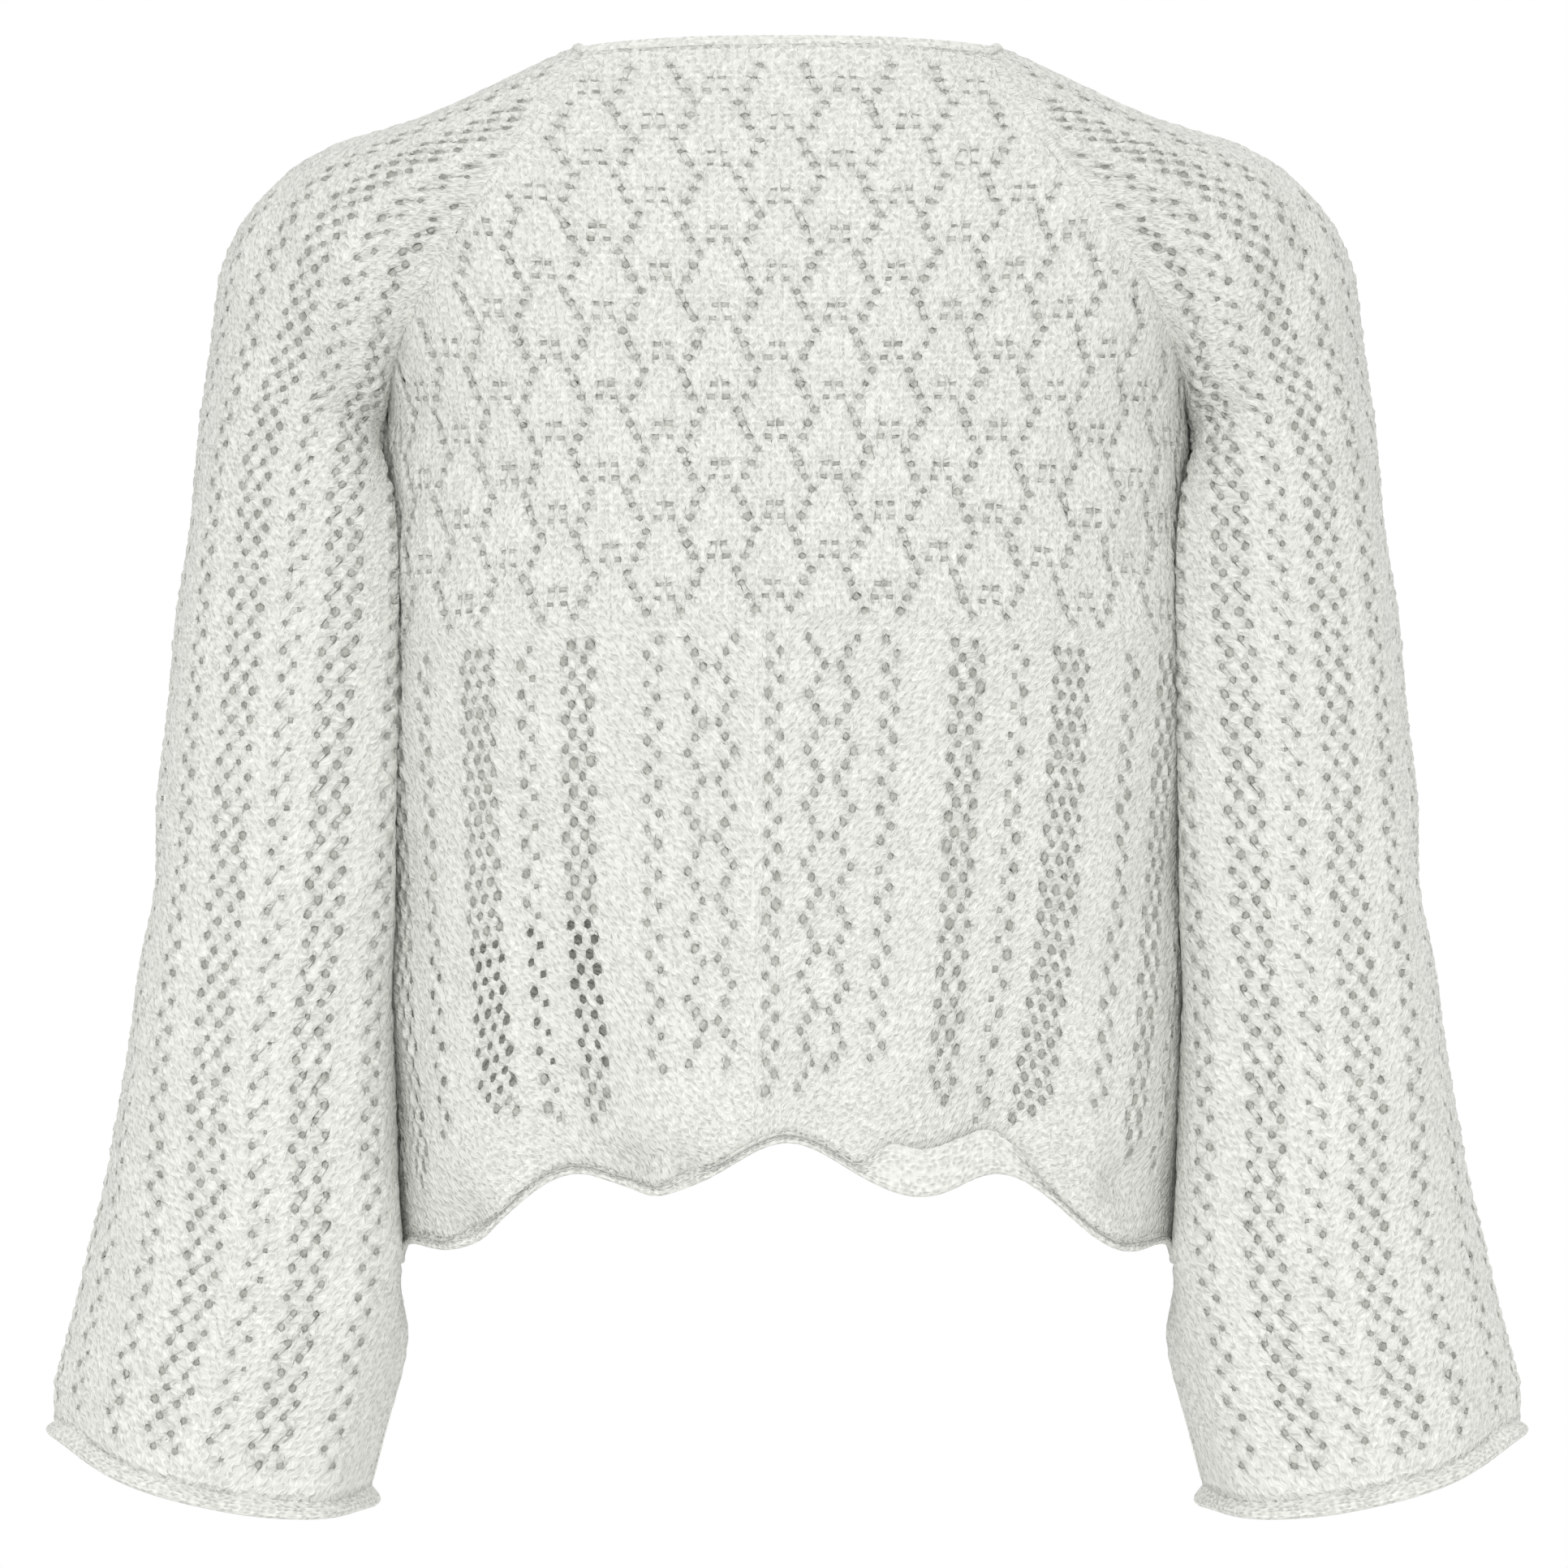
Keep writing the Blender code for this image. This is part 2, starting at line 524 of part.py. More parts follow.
def clear_scene():
    """Removes the objects that a new file starts with."""
    for thing in list(bpy.data.objects):
        bpy.data.objects.remove(thing)


def main():
    clear_scene()
    collection = bpy.data.collections.new("raglan_pullover")
    bpy.context.scene.collection.children.link(collection)

    back, front, sleeve = panel_grid("back"), panel_grid("front"), sleeve_grid()
    back_n, front_n, sleeve_n = panel_normals(back), panel_normals(front), sleeve_normals(sleeve)
    neck = loop_of_neck(back, front, sleeve, (back_n, front_n, sleeve_n))
    label = neck_label(back, back_n)
    raglan, side = slice(0, YOKE_ROWS), slice(YOKE_ROWS, None)
    for columns in ((0, 1), (-1, -2)):
        for panel in (back, front):
            draw_in(panel, columns, raglan, RAGLAN_DRAW_IN)
            draw_in(panel, columns, side, SIDE_DRAW_IN)
        draw_in(sleeve, columns, raglan, RAGLAN_DRAW_IN)
    yoke = slice(0, YOKE_ROWS + 1)
    seat_sleeve(back_n[yoke, -1], sleeve, sleeve_n, (0, 1))
    seat_sleeve(front_n[yoke, -1], sleeve, sleeve_n, (-1, -2))
    underarm = (sleeve[YOKE_ROWS, 0] + sleeve[YOKE_ROWS, -1]) / 2
    sleeve[YOKE_ROWS, 0] = underarm
    sleeve[YOKE_ROWS, -1] = underarm

    hem = edge_bulge(back, 2, HEM_ROLL_BULGE)
    cuff = edge_bulge(sleeve, 2, CUFF_ROLL_BULGE)
    pieces = [
        (wall("back_panel", back, back_n, hem), "cotton_knit"),
        (wall("front_panel", front, front_n, hem), "cotton_knit"),
        (wall("sleeve_right", sleeve, sleeve_n, cuff, YOKE_ROWS), "cotton_knit"),
        (wall("sleeve_left", mirrored(sleeve), mirrored(sleeve_n), cuff, YOKE_ROWS), "cotton_knit"),
        (neckband(*neck), "cotton_knit"),
        (label, "label_satin"),
    ]
    finishes = {"cotton_knit": (YARN, 0.9), "label_satin": (SATIN, 0.5)}
    for piece, finish in pieces:
        piece.data.materials.append(knit(piece.name + "_" + finish, *finishes[finish]))
        collection.objects.link(piece)


main()
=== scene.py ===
"""The visual model of a cropped raglan pullover in open-work knit, worn and hollow.

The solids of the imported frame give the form. Here each cut piece is knitted again stitch by stitch: a wall
of cloth on the solid's middle surface, with the holes of the lace cut through it, and with the rolled
edges, the seams and the label as pieces of their own. +Z is up, +X is the wearer's right and the back
faces -Y.
"""
from functools import partial

import bpy
import numpy as np
from bpy.props import FloatProperty, FloatVectorProperty, IntProperty, PointerProperty
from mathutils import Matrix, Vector


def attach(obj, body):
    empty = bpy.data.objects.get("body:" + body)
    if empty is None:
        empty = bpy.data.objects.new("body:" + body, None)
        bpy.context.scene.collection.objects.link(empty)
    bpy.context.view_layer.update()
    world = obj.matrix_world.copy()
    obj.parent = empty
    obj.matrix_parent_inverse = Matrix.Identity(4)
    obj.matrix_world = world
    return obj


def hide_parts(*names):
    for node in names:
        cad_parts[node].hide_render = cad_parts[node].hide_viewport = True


bl_info = {
    "name": "Lace-knit pullover",
    "version": (1, 0, 0),
    "blender": (4, 5, 0),
    "location": "3D View > Sidebar > Pullover",
    "description": "Knits a cropped raglan pullover on its packed frame",
    "category": "Object",
}

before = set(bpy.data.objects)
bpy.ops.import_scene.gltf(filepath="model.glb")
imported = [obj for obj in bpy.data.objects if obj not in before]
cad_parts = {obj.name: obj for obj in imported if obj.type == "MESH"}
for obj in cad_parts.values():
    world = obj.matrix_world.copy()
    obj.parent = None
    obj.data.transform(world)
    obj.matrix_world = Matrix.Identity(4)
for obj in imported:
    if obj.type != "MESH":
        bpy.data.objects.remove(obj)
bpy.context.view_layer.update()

# The form: the same surfaces as the solids'. All sizes are in metres.
UNDERARM = (0.176, 0.085, -0.168)
BACK_RAGLAN = ((0.0875, 0.020, -0.0070), (0.110, -0.012, -0.056), (0.168, -0.030, -0.100), UNDERARM)
FRONT_RAGLAN = ((0.074, 0.098, -0.042), (0.108, 0.156, -0.074), (0.167, 0.152, -0.110), UNDERARM)
# The middle of a yoke row, from 0 at the neck to 1 at the underarm: row, y, z, half of the arc's angle
BACK_YOKE = (
    (0.00, 0.000, -0.0045, 50.0),
    (0.25, -0.011, -0.045, 52.0),
    (0.50, -0.022, -0.085, 58.0),
    (0.75, -0.029, -0.127, 72.0),
    (1.00, -0.032, -0.168, 90.0),
)
FRONT_YOKE = (
    (0.00, 0.126, -0.074, 50.0),
    (0.25, 0.146, -0.096, 54.0),
    (0.50, 0.166, -0.119, 60.0),
    (0.75, 0.182, -0.143, 73.0),
    (1.00, 0.192, -0.168, 90.0),
)
# The body below the underarm: z, half width, y of the back and y of the front
TORSO = (
    (-0.168, 0.1760, -0.032, 0.192),
    (-0.250, 0.1775, -0.034, 0.203),
    (-0.340, 0.1770, -0.031, 0.203),
    (-0.430, 0.1745, -0.028, 0.200),
    (-0.530, 0.1670, -0.027, 0.200),
)
ROUNDNESS = 2.4         # of the body's sections: 2 is an ellipse, and more is squarer
HEM_Z = -0.4730         # height of the hem at its middle, between two lobes
HEM_SIDE_DROP = 0.0397  # how much lower it is at the sides
SCALLOPS_TO_SIDE = 2.5  # lobes from the middle to a side
SCALLOP_DEPTH = 0.018
SCALLOP_FLARE = 0.0060  # how far lobes stand out and the arches between them stand in
SIDE_ARCH = 0.4         # depth of the arch beside a side seam, as a share of the others'
SCALLOP_START = 0.45    # of the way down from the underarm, where the scallops start
SLEEVE_CLEARANCE = 0.0020       # between body and sleeve
HEM_CLEARANCE = 0.0020          # more of it beside the hem
HEM_CLEARANCE_TOP, HEM_CLEARANCE_RUN = -0.453, 0.04     # from this height, over this length
BELOW_HEM_Z, BELOW_HEM_RUN = -0.533, 0.075      # below the hem the sleeve may come in again
BELOW_HEM_REACH = 0.03                          # by so much
# The sleeve's outer line: row, x, z
SHOULDER_LINE = (
    (0.00, 0.0925, -0.0030),
    (0.20, 0.1325, -0.0212),
    (0.35, 0.1665, -0.0350),
    (0.50, 0.2010, -0.0465),
    (0.555, 0.2135, -0.0532),
    (0.63, 0.2280, -0.0675),
    (0.76, 0.2425, -0.0930),
    (1.00, 0.2535, -0.1500),
)
# The sleeve below the underarm: row, outer x and z, inner x and z, half depth, y of its middle
ARM = (
    (1.00, 0.2535, -0.1500, 0.1760, -0.1680, 0.062, 0.085),
    (1.10, 0.2575, -0.1960, 0.1660, -0.2060, 0.062, 0.078),
    (1.30, 0.2680, -0.2850, 0.1665, -0.2880, 0.061, 0.075),
    (1.50, 0.2765, -0.3700, 0.1680, -0.3780, 0.060, 0.073),
    (1.70, 0.2882, -0.4560, 0.1690, -0.4670, 0.059, 0.073),
    (1.80, 0.2957, -0.5020, 0.1610, -0.5160, 0.058, 0.074),
    (1.90, 0.3090, -0.5550, 0.1685, -0.5750, 0.057, 0.077),
    (1.95, 0.3155, -0.5810, 0.1760, -0.6040, 0.056, 0.079),
    (2.00, 0.3172, -0.6040, 0.1850, -0.6385, 0.056, 0.080),
)
ARM_ROUNDNESS, CUFF_ROUNDNESS = 2.7, 2.2
ARM_ROUNDING = 0.08     # rows below the underarm over which the section takes the arm's roundness
BELL_START = 1.6        # row from which it takes the cuff's
CUFF_SAG = 0.013        # how much lower the cuff hangs at the back and front
CUFF_WAVES, CUFF_WAVE, CUFF_WAVE_SHIFT = 5, 0.0022, 0.3     # count, height and place of its soft waves
CUFF_WAVE_START, CUFF_WAVE_EDGE = 1.55, 0.25    # row from which they rise, and their fade at the inner side
ARC_AT_NECK = 65.0      # half of the angle that a sleeve's row spans at the neck
ARC_OPENING = 1.6       # how late it opens to a full ring at the underarm
ARC_FILL = 0.2          # how full the shoulder is, as a share of the distance between back and front
PUSH_SOFTNESS = 0.002   # rounds the bend where a sleeve is moved out of the body
TURN_IN_ROWS = 0.4      # half a turn of a sleeve's section, in rows, for the length of its folds
UNDERARM_PASSES = 6     # times that the rows of a panel are softened
KINK_ROWS = 16          # rows over which the sleeve's bend at the underarm is softened
KINK_PASSES = 60
KINK_EDGE = 0.08        # of half a row, where the softening fades towards the sleeve's edges
FOLD_END = 0.15         # of a fold's rise and fall, that is missing at each end
# Soft folds, each from one place to another: first and second place, half width, and how far it sinks in
# or stands out. A sleeve's places are a row and a turn, which is -1 and 1 at the seam. A panel's are x and z.
SLEEVE_FOLDS = (
    (0.98, -0.86, 0.62, -0.30, 0.050, 0.0050),
    (1.04, -0.80, 0.86, -0.22, 0.050, 0.0040),
    (1.14, -0.72, 1.10, -0.20, 0.045, 0.0025),
    (0.98, 0.86, 0.60, 0.34, 0.050, 0.0050),
    (1.05, 0.78, 0.88, 0.24, 0.050, 0.0040),
    (1.47, -0.15, 1.56, 0.42, 0.050, 0.0030),
    (1.50, -0.95, 1.62, -0.50, 0.050, 0.0025),
    (1.58, 0.80, 1.50, 0.35, 0.045, 0.0030),
    (0.84, -0.88, 1.12, -0.82, 0.045, -0.0085),
    (1.02, -0.78, 1.75, -0.76, 0.060, -0.0080),
    (0.84, 0.88, 1.12, 0.82, 0.045, -0.0070),
    (1.02, 0.78, 1.75, 0.76, 0.060, -0.0065),
    (0.84, -0.62, 1.07, -0.88, 0.018, 0.0026),
    (0.98, -0.68, 1.24, -0.60, 0.018, -0.0024),
    (1.00, -0.58, 1.22, -0.50, 0.018, 0.0026),
    (0.86, 0.64, 1.06, 0.88, 0.018, 0.0026),
    (1.00, 0.66, 1.22, 0.60, 0.018, -0.0022),
)
PANEL_FOLDS = (
    (0.166, -0.158, 0.112, -0.196, 0.013, 0.0032),
    (0.170, -0.192, 0.124, -0.246, 0.012, 0.0024),
    (0.168, -0.350, 0.135, -0.420, 0.015, 0.0020),
)
FOLD_TO_SEAM = 0.10     # of half a row, over which folds and dips fade towards a panel's seams
BAND_CLEARANCE = -0.0007        # the neck's edge takes in the tops of the pieces
LABEL_SIZE = (0.033, 0.042)
LABEL_DROP = 0.004      # from the neck's edge to the label
LABEL_OFF_WALL = 0.0013
LABEL_THICKNESS = 0.0005
LABEL_GRID = (13, 20)   # points across and down it
LABEL_LIFT = 0.0011     # its lower edge hangs so much further off the wall
LABEL_WAVE = (0.0004, 260.0)    # height and pace of its waves there
SEWING = (0.0016, 0.0011, 0.0017)       # length, width and spacing of the stitches that hold it
SEWING_OFF = 0.0001
SEWN_ENDS = (slice(1, 5), slice(-5, -1))        # points across it that are sewn
FLIP = np.array((-1.0, 1.0, 1.0))       # to the other side of the garment
DENSE = 97              # points of a row of the form before stitches are laid along it
ACROSS = np.linspace(-1.0, 1.0, DENSE)      # and their places, as shares of the way to its edges

# Dips of the cloth above the hem's lobes, which differ from lobe to lobe: x, z, half width, depth
HEM_DIPS = {
    "back": (
        (-0.0660, -0.4820, 0.0090, 0.0080),
        (-0.0450, -0.4800, 0.0090, 0.0062),
        (-0.1400, -0.5080, 0.0120, 0.0080),
        (0.1450, -0.4910, 0.0120, 0.0080),
        (0.0510, -0.4720, 0.0100, 0.0012),
    ),
    "front": (
        (-0.0500, -0.4830, 0.0110, 0.0028),
        (0.0620, -0.4850, 0.0100, 0.0030),
        (-0.1430, -0.4990, 0.0120, 0.0030),
        (0.1400, -0.5010, 0.0120, 0.0026),
        (0.0000, -0.4640, 0.0090, 0.0016),
    ),
}
# Where the hem is folded outwards: from x, to x, lengths over which it starts and ends, height of the
# turned-up cloth, and how far its edge stands off
HEM_TURN_UPS = {
    "back": (
        (0.0270, 0.1170, 0.020, 0.040, 0.0165, 0.0034),
        (-0.0560, -0.0280, 0.010, 0.012, 0.0035, 0.0014),
        (-0.1480, -0.1220, 0.010, 0.012, 0.0030, 0.0012),
    ),
    "front": (
        (-0.1120, -0.0480, 0.025, 0.030, 0.0100, 0.0020),
        (0.0300, 0.0720, 0.012, 0.016, 0.0040, 0.0012),
    ),
}

# The lace. Places across are in half stitches from the middle of a piece, and lace rows are every second
# knit row.
PATTERN_CHANGE_Z = -0.2478  # height of the purl row across back and front
STITCH_TAPER = 0.37     # how much narrower a stitch of the body gets per metre below the purl row
YOKE_SPREAD = 0.245     # and how much wider it is at the neck than at the purl row
YOKE_SPREAD_POWER = 1.9
PATTERN_OFF = (-0.0020, 0.017)  # the back's pattern starts this far from the middle and drifts with height
CELL = 12               # half stitches between two zigzag columns of the yoke
ZIGZAG = (-2.1, -0.9, 0.4, 2.1, 0.9, -0.4)  # a yoke column's swing, one lace row after another
SMALL_PAIRS = {4: 1.15, 5: 1.6}     # lace rows of a cell with a pair of holes in it, and their place
ARCH_ROWS = 3.6         # lace rows that the raised arch of a cell takes
ARCH_INSET = 1.6        # half stitches between a column of holes and the arch beside it
BODY_BANDS = {
    "back": (
        (0.8, "zigzag"), (13.5, "diamond"), (26.6, "thin zigzag"), (43.8, "lattice"), (56.3, "single"),
        (68.5, "net"), (85.0, "zigzag"), (98.0, "lattice"), (110.5, "single"),
    ),
    "front": (
        (7.5, "zigzag"), (22.5, "diamond"), (37.0, "thin zigzag"), (51.5, "lattice"), (63.0, "single"),
        (77.5, "lattice"), (91.0, "zigzag"), (105.0, "lattice"),
    ),
}
SLEEVE_BANDS = (
    (-66.0, "zigzag"), (-54.5, "lattice"), (-44.5, "single"), (-35.0, "lattice"), (-24.0, "zigzag"),
    (-11.5, "single"), (0.0, "lattice"), (11.5, "single"),
    (24.0, "zigzag"), (35.0, "lattice"), (44.5, "single"), (54.5, "lattice"), (66.0, "zigzag"),
)
PLAIN_SHOULDER = (20.0, 0.6)    # the shoulder is plain so far on both sides of its line, down to this row
PLAIN_ABOVE_HEM = 6     # rows without holes above the hem between two lobes
PLAIN_OVER_LOBE = 8     # and so many more over a lobe
PLAIN_ABOVE_CUFF = 3
RIDGE_SIDES, RIDGE_STITCHES = 12, 3     # sides and stitches round the ridge of a raglan seam
NECK_SIDES, NECK_STITCHES = 14, 4       # and round the neck's edge
WALE_RELIEF = (-0.20, 0.16)     # of the relief, between two wales and on them
ARCH_RELIEF = 0.8       # of the relief, by which the yoke's arches stand out
PURL_RELIEF, BELOW_PURL = 0.9, 0.3      # by which the purl row stands out and the row below it sinks
SEAM_STRIP = 0.003      # cloth without holes beside a side or sleeve seam
SEAM_SWELL = 0.30       # of the relief, beside a seam
SEAM_SINK = 0.10
SEAM_SWELL_AT = 0.0032
SEAM_SWELL_WIDTH = 0.0016
# A knit stitch's legs, in its length or width: how far they start ahead, their length, how far apart they
# start, how far they spread, their girth, and its share from end to end
STITCH_LEG = (0.55, 1.15, 0.04, 0.27, 0.21, (0.35, 0.9, 1.0, 0.95, 0.3))
LEG_SIDES = 6
# The curl of an edge: how quickly it drifts, by how much its radius drifts and swells with each stitch, how
# far it comes up again in radii, and by how much that drifts
HEM_CURL = (2.5, 0.25, 0.05, 1.5, 0.5)
CUFF_CURL = (2.0, 0.22, 0.05, 2.6, 0.9)
CUFF_CORNER = 0.72      # of half a turn, from which the curl gets fuller towards the inner corner
CORNER_CURL = (0.35, 0.8)       # by so much: its radius, and how far it comes up again in radii
TURN_UP_CURL = 0.04     # of a turn-up's height, by which the hem's curl is fuller there
HEM_OFF = 0.0001        # the hem's curl ends so far off the cloth
HEM_THICKNESS = 0.9     # of the wall's
CURL_TOP = -0.0006      # a curled edge starts so far inside the wall
CURL_STITCH = 0.7       # of a stitch's width, the height of a knit row in the curls
CUFF_TIP = -0.0022      # the cuff's curl ends so far in the cloth, which rounds off its upper line
WELD = 2e-6             # vertices nearer to each other than this are one
EDGE_STEP = 0.0019      # spacing of sections along hem and cuffs
NECK_STEP = 0.0011
SWINGING_BANDS = {      # places of a lace row's holes, how far they swing from row to row, and their size
    "zigzag": ((0.0,), 1.2, 1.0),
    "thin zigzag": ((0.0,), 1.3, 0.9),
    "lattice": ((-2.1, 2.1), 0.85, 1.08),
    "net": ((-3.2, 0.0, 3.2), 0.75, 0.98),
}
DIAMOND = (5.3, 3.5, 1.75, 3.5)     # half width of the diamond chain, one lace row after another
DIAMOND_HOLE = 0.92     # size of its holes
SINGLE = ((-1.7, 0.75), (0.9, 1.0))     # place and size of the holes of a single column, row by row
ZIGZAG_HOLE, PAIR_HOLE = 0.95, 0.78     # sizes of the yoke's holes
CELLS = 12              # cells of the yoke on each side of the middle
SLEEVE_SLANT = 0.35
SLEEVE_TURN = 42        # half stitches from the sleeve's outer line to where its wales lean the other way
DRIFT_WAVES = (((61, 23, 37), 0.4), ((-43, 52, 71), 2.1), ((97, -38, -29), 4.0), ((29, 88, -83), 5.2))
EDGE_SNAP = 0.35        # of half a stitch: columns nearer to an edge than this lie on it
WIDE_HOLE = 0.8         # holes of more than this size are three columns wide, the others two
WIDE_OUTLINE, NARROW_OUTLINE = (0.5, 1.0, 0.5), (0.8, 0.8)     # half heights of a hole at its columns
STITCH_JITTER = (0.05, 0.045)   # how far vertices stray, in columns and rows
HOLE_UNEVEN = 0.12      # how much holes differ in size and place, as a share and in half stitches
HOLE_SINK = 0.2         # of the relief, by which the yarn round a hole sinks in
HOLE_RIM = 0.32         # and by which the yarn round that stands out
WALE_SLANT = 0.55       # of a stitch a row, by which the body's wales run towards the middle
STRAIGHT_COLUMNS = 4    # in the middle, whose wales run straight down
YOKE_SHIFT = {"back": 0, "front": 6}    # half stitches that the yoke's cells are moved by
FLAT_ABOVE_Z = -0.075       # the back's upper rows, whose holes are drawn out flat
SIDE_BANDS_FROM = 40        # half stitches from the middle to the bands whose closed holes get the deeper painted shade
OPEN_Z = (-0.425, -0.368)   # between these heights the left side bands' holes are open to the inside
SOFT_SHADE = 0.36           # painted shade at the bottom of a closed hole, as a share of the groove's shade colour
DEEP_SHADE = 0.50

# The stage
LAMPS = (               # name, place, size
    ("key", (-1.5, -2.3, 1.3), 1.2), ("back_key", (1.5, 2.5, 1.3), 1.2),
    ("fill", (0.3, -3.3, -0.1), 1.6), ("back_fill", (-0.3, 3.4, -0.1), 1.6),
)
LAMPS_AIM = (0.0, 0.08, -0.3)
CAMERA_AIM = (-0.0014, 0.04, -0.3206)   # the camera looks along +Y at this place
SENSOR_WIDTH = 36.0     # in millimetres
CLIP_END = 50.0
FLOOR_SIDES = 96
SKY_FADE, SKY_BELOW = (-0.6, -0.12), 0.45       # levels between which the sky fades, and to which share


def linear(hex_colour):
    """An sRGB hex colour as linear red, green and blue."""
    parts = np.array([int(hex_colour[k:k + 2], 16) / 255 for k in (0, 2, 4)])
    return tuple(np.where(parts <= 0.04045, parts / 12.92, ((parts + 0.055) / 1.055) ** 2.4))


def unit(vectors):
    """The same vectors at length one."""
    return vectors / np.maximum(np.linalg.norm(vectors, axis=-1, keepdims=True), 1e-12)


def through(table, at):
    """The other columns of a table at any place along its first, on smooth curves through its rows."""
    rows = np.array(table)
    rows = rows if rows[0, 0] < rows[-1, 0] else rows[::-1]
    x = rows[:, 0]
    at = np.clip(at, x[0], x[-1])
    k = np.clip(np.searchsorted(x, at, side="right") - 1, 0, len(x) - 2)
    step = x[k + 1] - x[k]
    t = (at - x[k]) / step
    columns = []
    for y in rows.T[1:]:
        slope = np.gradient(y, x)
        columns.append((1 + 2 * t) * (1 - t) ** 2 * y[k] + t * (1 - t) ** 2 * step * slope[k]
                       + t * t * (3 - 2 * t) * y[k + 1] + t * t * (t - 1) * step * slope[k + 1])
    return columns


def bezier(points, t):
    """A point of a cubic Bezier."""
    a, b, c, d = np.array(points)
    return (1 - t) ** 3 * a + 3 * t * (1 - t) ** 2 * b + 3 * t * t * (1 - t) * c + t ** 3 * d


def power(value, exponent):
    """A signed power, for the sections between an ellipse and a rounded box."""
    return np.sign(value) * np.abs(value) ** exponent


def ease(t):
    """Rises smoothly from 0 to 1."""
    t = np.clip(t, 0.0, 1.0)
    return t * t * (3 - 2 * t)


def run_along(points):
    """Length along a line of points, from its first one."""
    return np.concatenate([[0.0], np.cumsum(np.linalg.norm(np.diff(points, axis=0), axis=1))])


def run_round(points):
    """The same for a line that closes."""
    return run_along(np.concatenate([points, points[:1]]))


def at_run(points, run, places):
    """Points of a line at given lengths along it."""
    return np.stack([np.interp(places, run, points[:, k]) for k in range(3)], axis=1)


def spaced(lines, step, closed):
    """Points of a line, step apart, and directions that go with them, at length one."""
    run = run_along(lines[0])
    count = int(run[-1] / step) + 1
    places = np.linspace(0.0, run[-1], count)[:count - closed]
    points, *ways = (at_run(line, run, places) for line in lines)
    return points, *(unit(way) for way in ways)


def swept(line, first, second, outline):
    """Rings of points along a line. The outline's places are lengths along two directions."""
    return line[:, None] + first[:, None] * outline[..., :1] + second[:, None] * outline[..., 1:]


def evenly(points, count):
    """The same line with its points equally far apart."""
    run = run_along(points)
    return at_run(points, run, np.linspace(0.0, run[-1], count))


def panel_arc(centre, edge, half_angle):
    """A row of a panel, from its left edge round its middle to its right edge."""
    exponent = 2.0 / ROUNDNESS
    half_angle = np.radians(half_angle)
    angle = np.linspace(-half_angle, half_angle, DENSE)
    reach = power(np.sin(half_angle), exponent)
    rest = power(np.cos(half_angle), exponent) if half_angle < np.pi / 2 - 1e-6 else 0.0
    across = power(np.sin(angle), exponent) / reach
    depth = (1.0 - np.abs(np.cos(angle)) ** exponent) / (1.0 - rest)
    height = (angle / half_angle) ** 2
    return np.stack([
        edge[0] * across,
        centre[1] + (edge[1] - centre[1]) * depth,
        centre[2] + (edge[2] - centre[2]) * height,
    ], axis=1)


def panel_row(face, place):
    """A row of the back or front: place is 0 at the neck, 1 at the underarm and 2 at the hem."""
    if place > 1.0:
        return torso_row(face, place - 1.0)
    yoke, raglan = (BACK_YOKE, BACK_RAGLAN) if face == "back" else (FRONT_YOKE, FRONT_RAGLAN)
    y, z, half_angle = through(yoke, place)
    return evenly(panel_arc((0.0, y, z), bezier(raglan, place), half_angle), DENSE)


def lobes(count):
    """How far the hem's lobes hang down, from 0 between two lobes to 1. Those at the side run together."""
    wave = np.sin(np.pi * count) ** 2
    return np.where(np.abs(count) > 1.5, 1.0 - SIDE_ARCH * (1.0 - wave), wave)


def torso_row(face, share):
    """A row of the back or front below the underarm: share is 0 at the underarm and 1 at the hem."""
    wave = ease((share - SCALLOP_START) / (1.0 - SCALLOP_START))
    count = SCALLOPS_TO_SIDE * ACROSS
    stepped = (count - np.sin(2 * np.pi * count) / (2 * np.pi)) / SCALLOPS_TO_SIDE
    level = (1.0 - wave) * ACROSS + wave * stepped
    fall = HEM_SIDE_DROP * np.sin(np.pi / 2 * level) ** 2 + wave * SCALLOP_DEPTH * lobes(count)
    height = UNDERARM[2] + (HEM_Z - UNDERARM[2] - fall) * share
    half_width = through(TORSO, height[0])[0]
    _, back, front = through(TORSO, height[DENSE // 2])
    middle = (0.0, back if face == "back" else front, 0.0)
    row = evenly(panel_arc(middle, (half_width, UNDERARM[1], 0.0), 90.0), DENSE)
    row[:, 2] = height
    outward = unit(row * (1.0, 1.0, 0.0) - (0.0, UNDERARM[1], 0.0))
    return row + outward * (SCALLOP_FLARE * wave ** 2 * (lobes(count) - 0.5) * (1.0 - ACROSS ** 6))[:, None]


def body_clearance(y, z):
    """How far out from the middle a sleeve has to stay at this y and z to lie beside the body."""
    level = np.clip(z, TORSO[-1][0], TORSO[0][0])
    half_width, back, front = through(TORSO, level)
    face = np.where(y < UNDERARM[1], back, front)
    depth = np.clip(np.abs((y - UNDERARM[1]) / (face - UNDERARM[1])), 0.0, 1.0)
    side = half_width * (1.0 - depth ** ROUNDNESS) ** (1.0 / ROUNDNESS)
    at_hem = ease((HEM_CLEARANCE_TOP - z) / HEM_CLEARANCE_RUN) * HEM_CLEARANCE
    below_hem = ease((BELOW_HEM_Z - z) / BELOW_HEM_RUN) * BELOW_HEM_REACH
    return side + SLEEVE_CLEARANCE + at_hem - below_hem


def beside_body(points):
    """The same points, moved outwards where they would be in the body."""
    clear = body_clearance(points[..., 1], points[..., 2])
    x = points[..., 0]
    pushed = (x + clear + np.sqrt((x - clear) ** 2 + PUSH_SOFTNESS ** 2)) / 2
    return np.concatenate([pushed[..., None], points[..., 1:]], axis=-1)


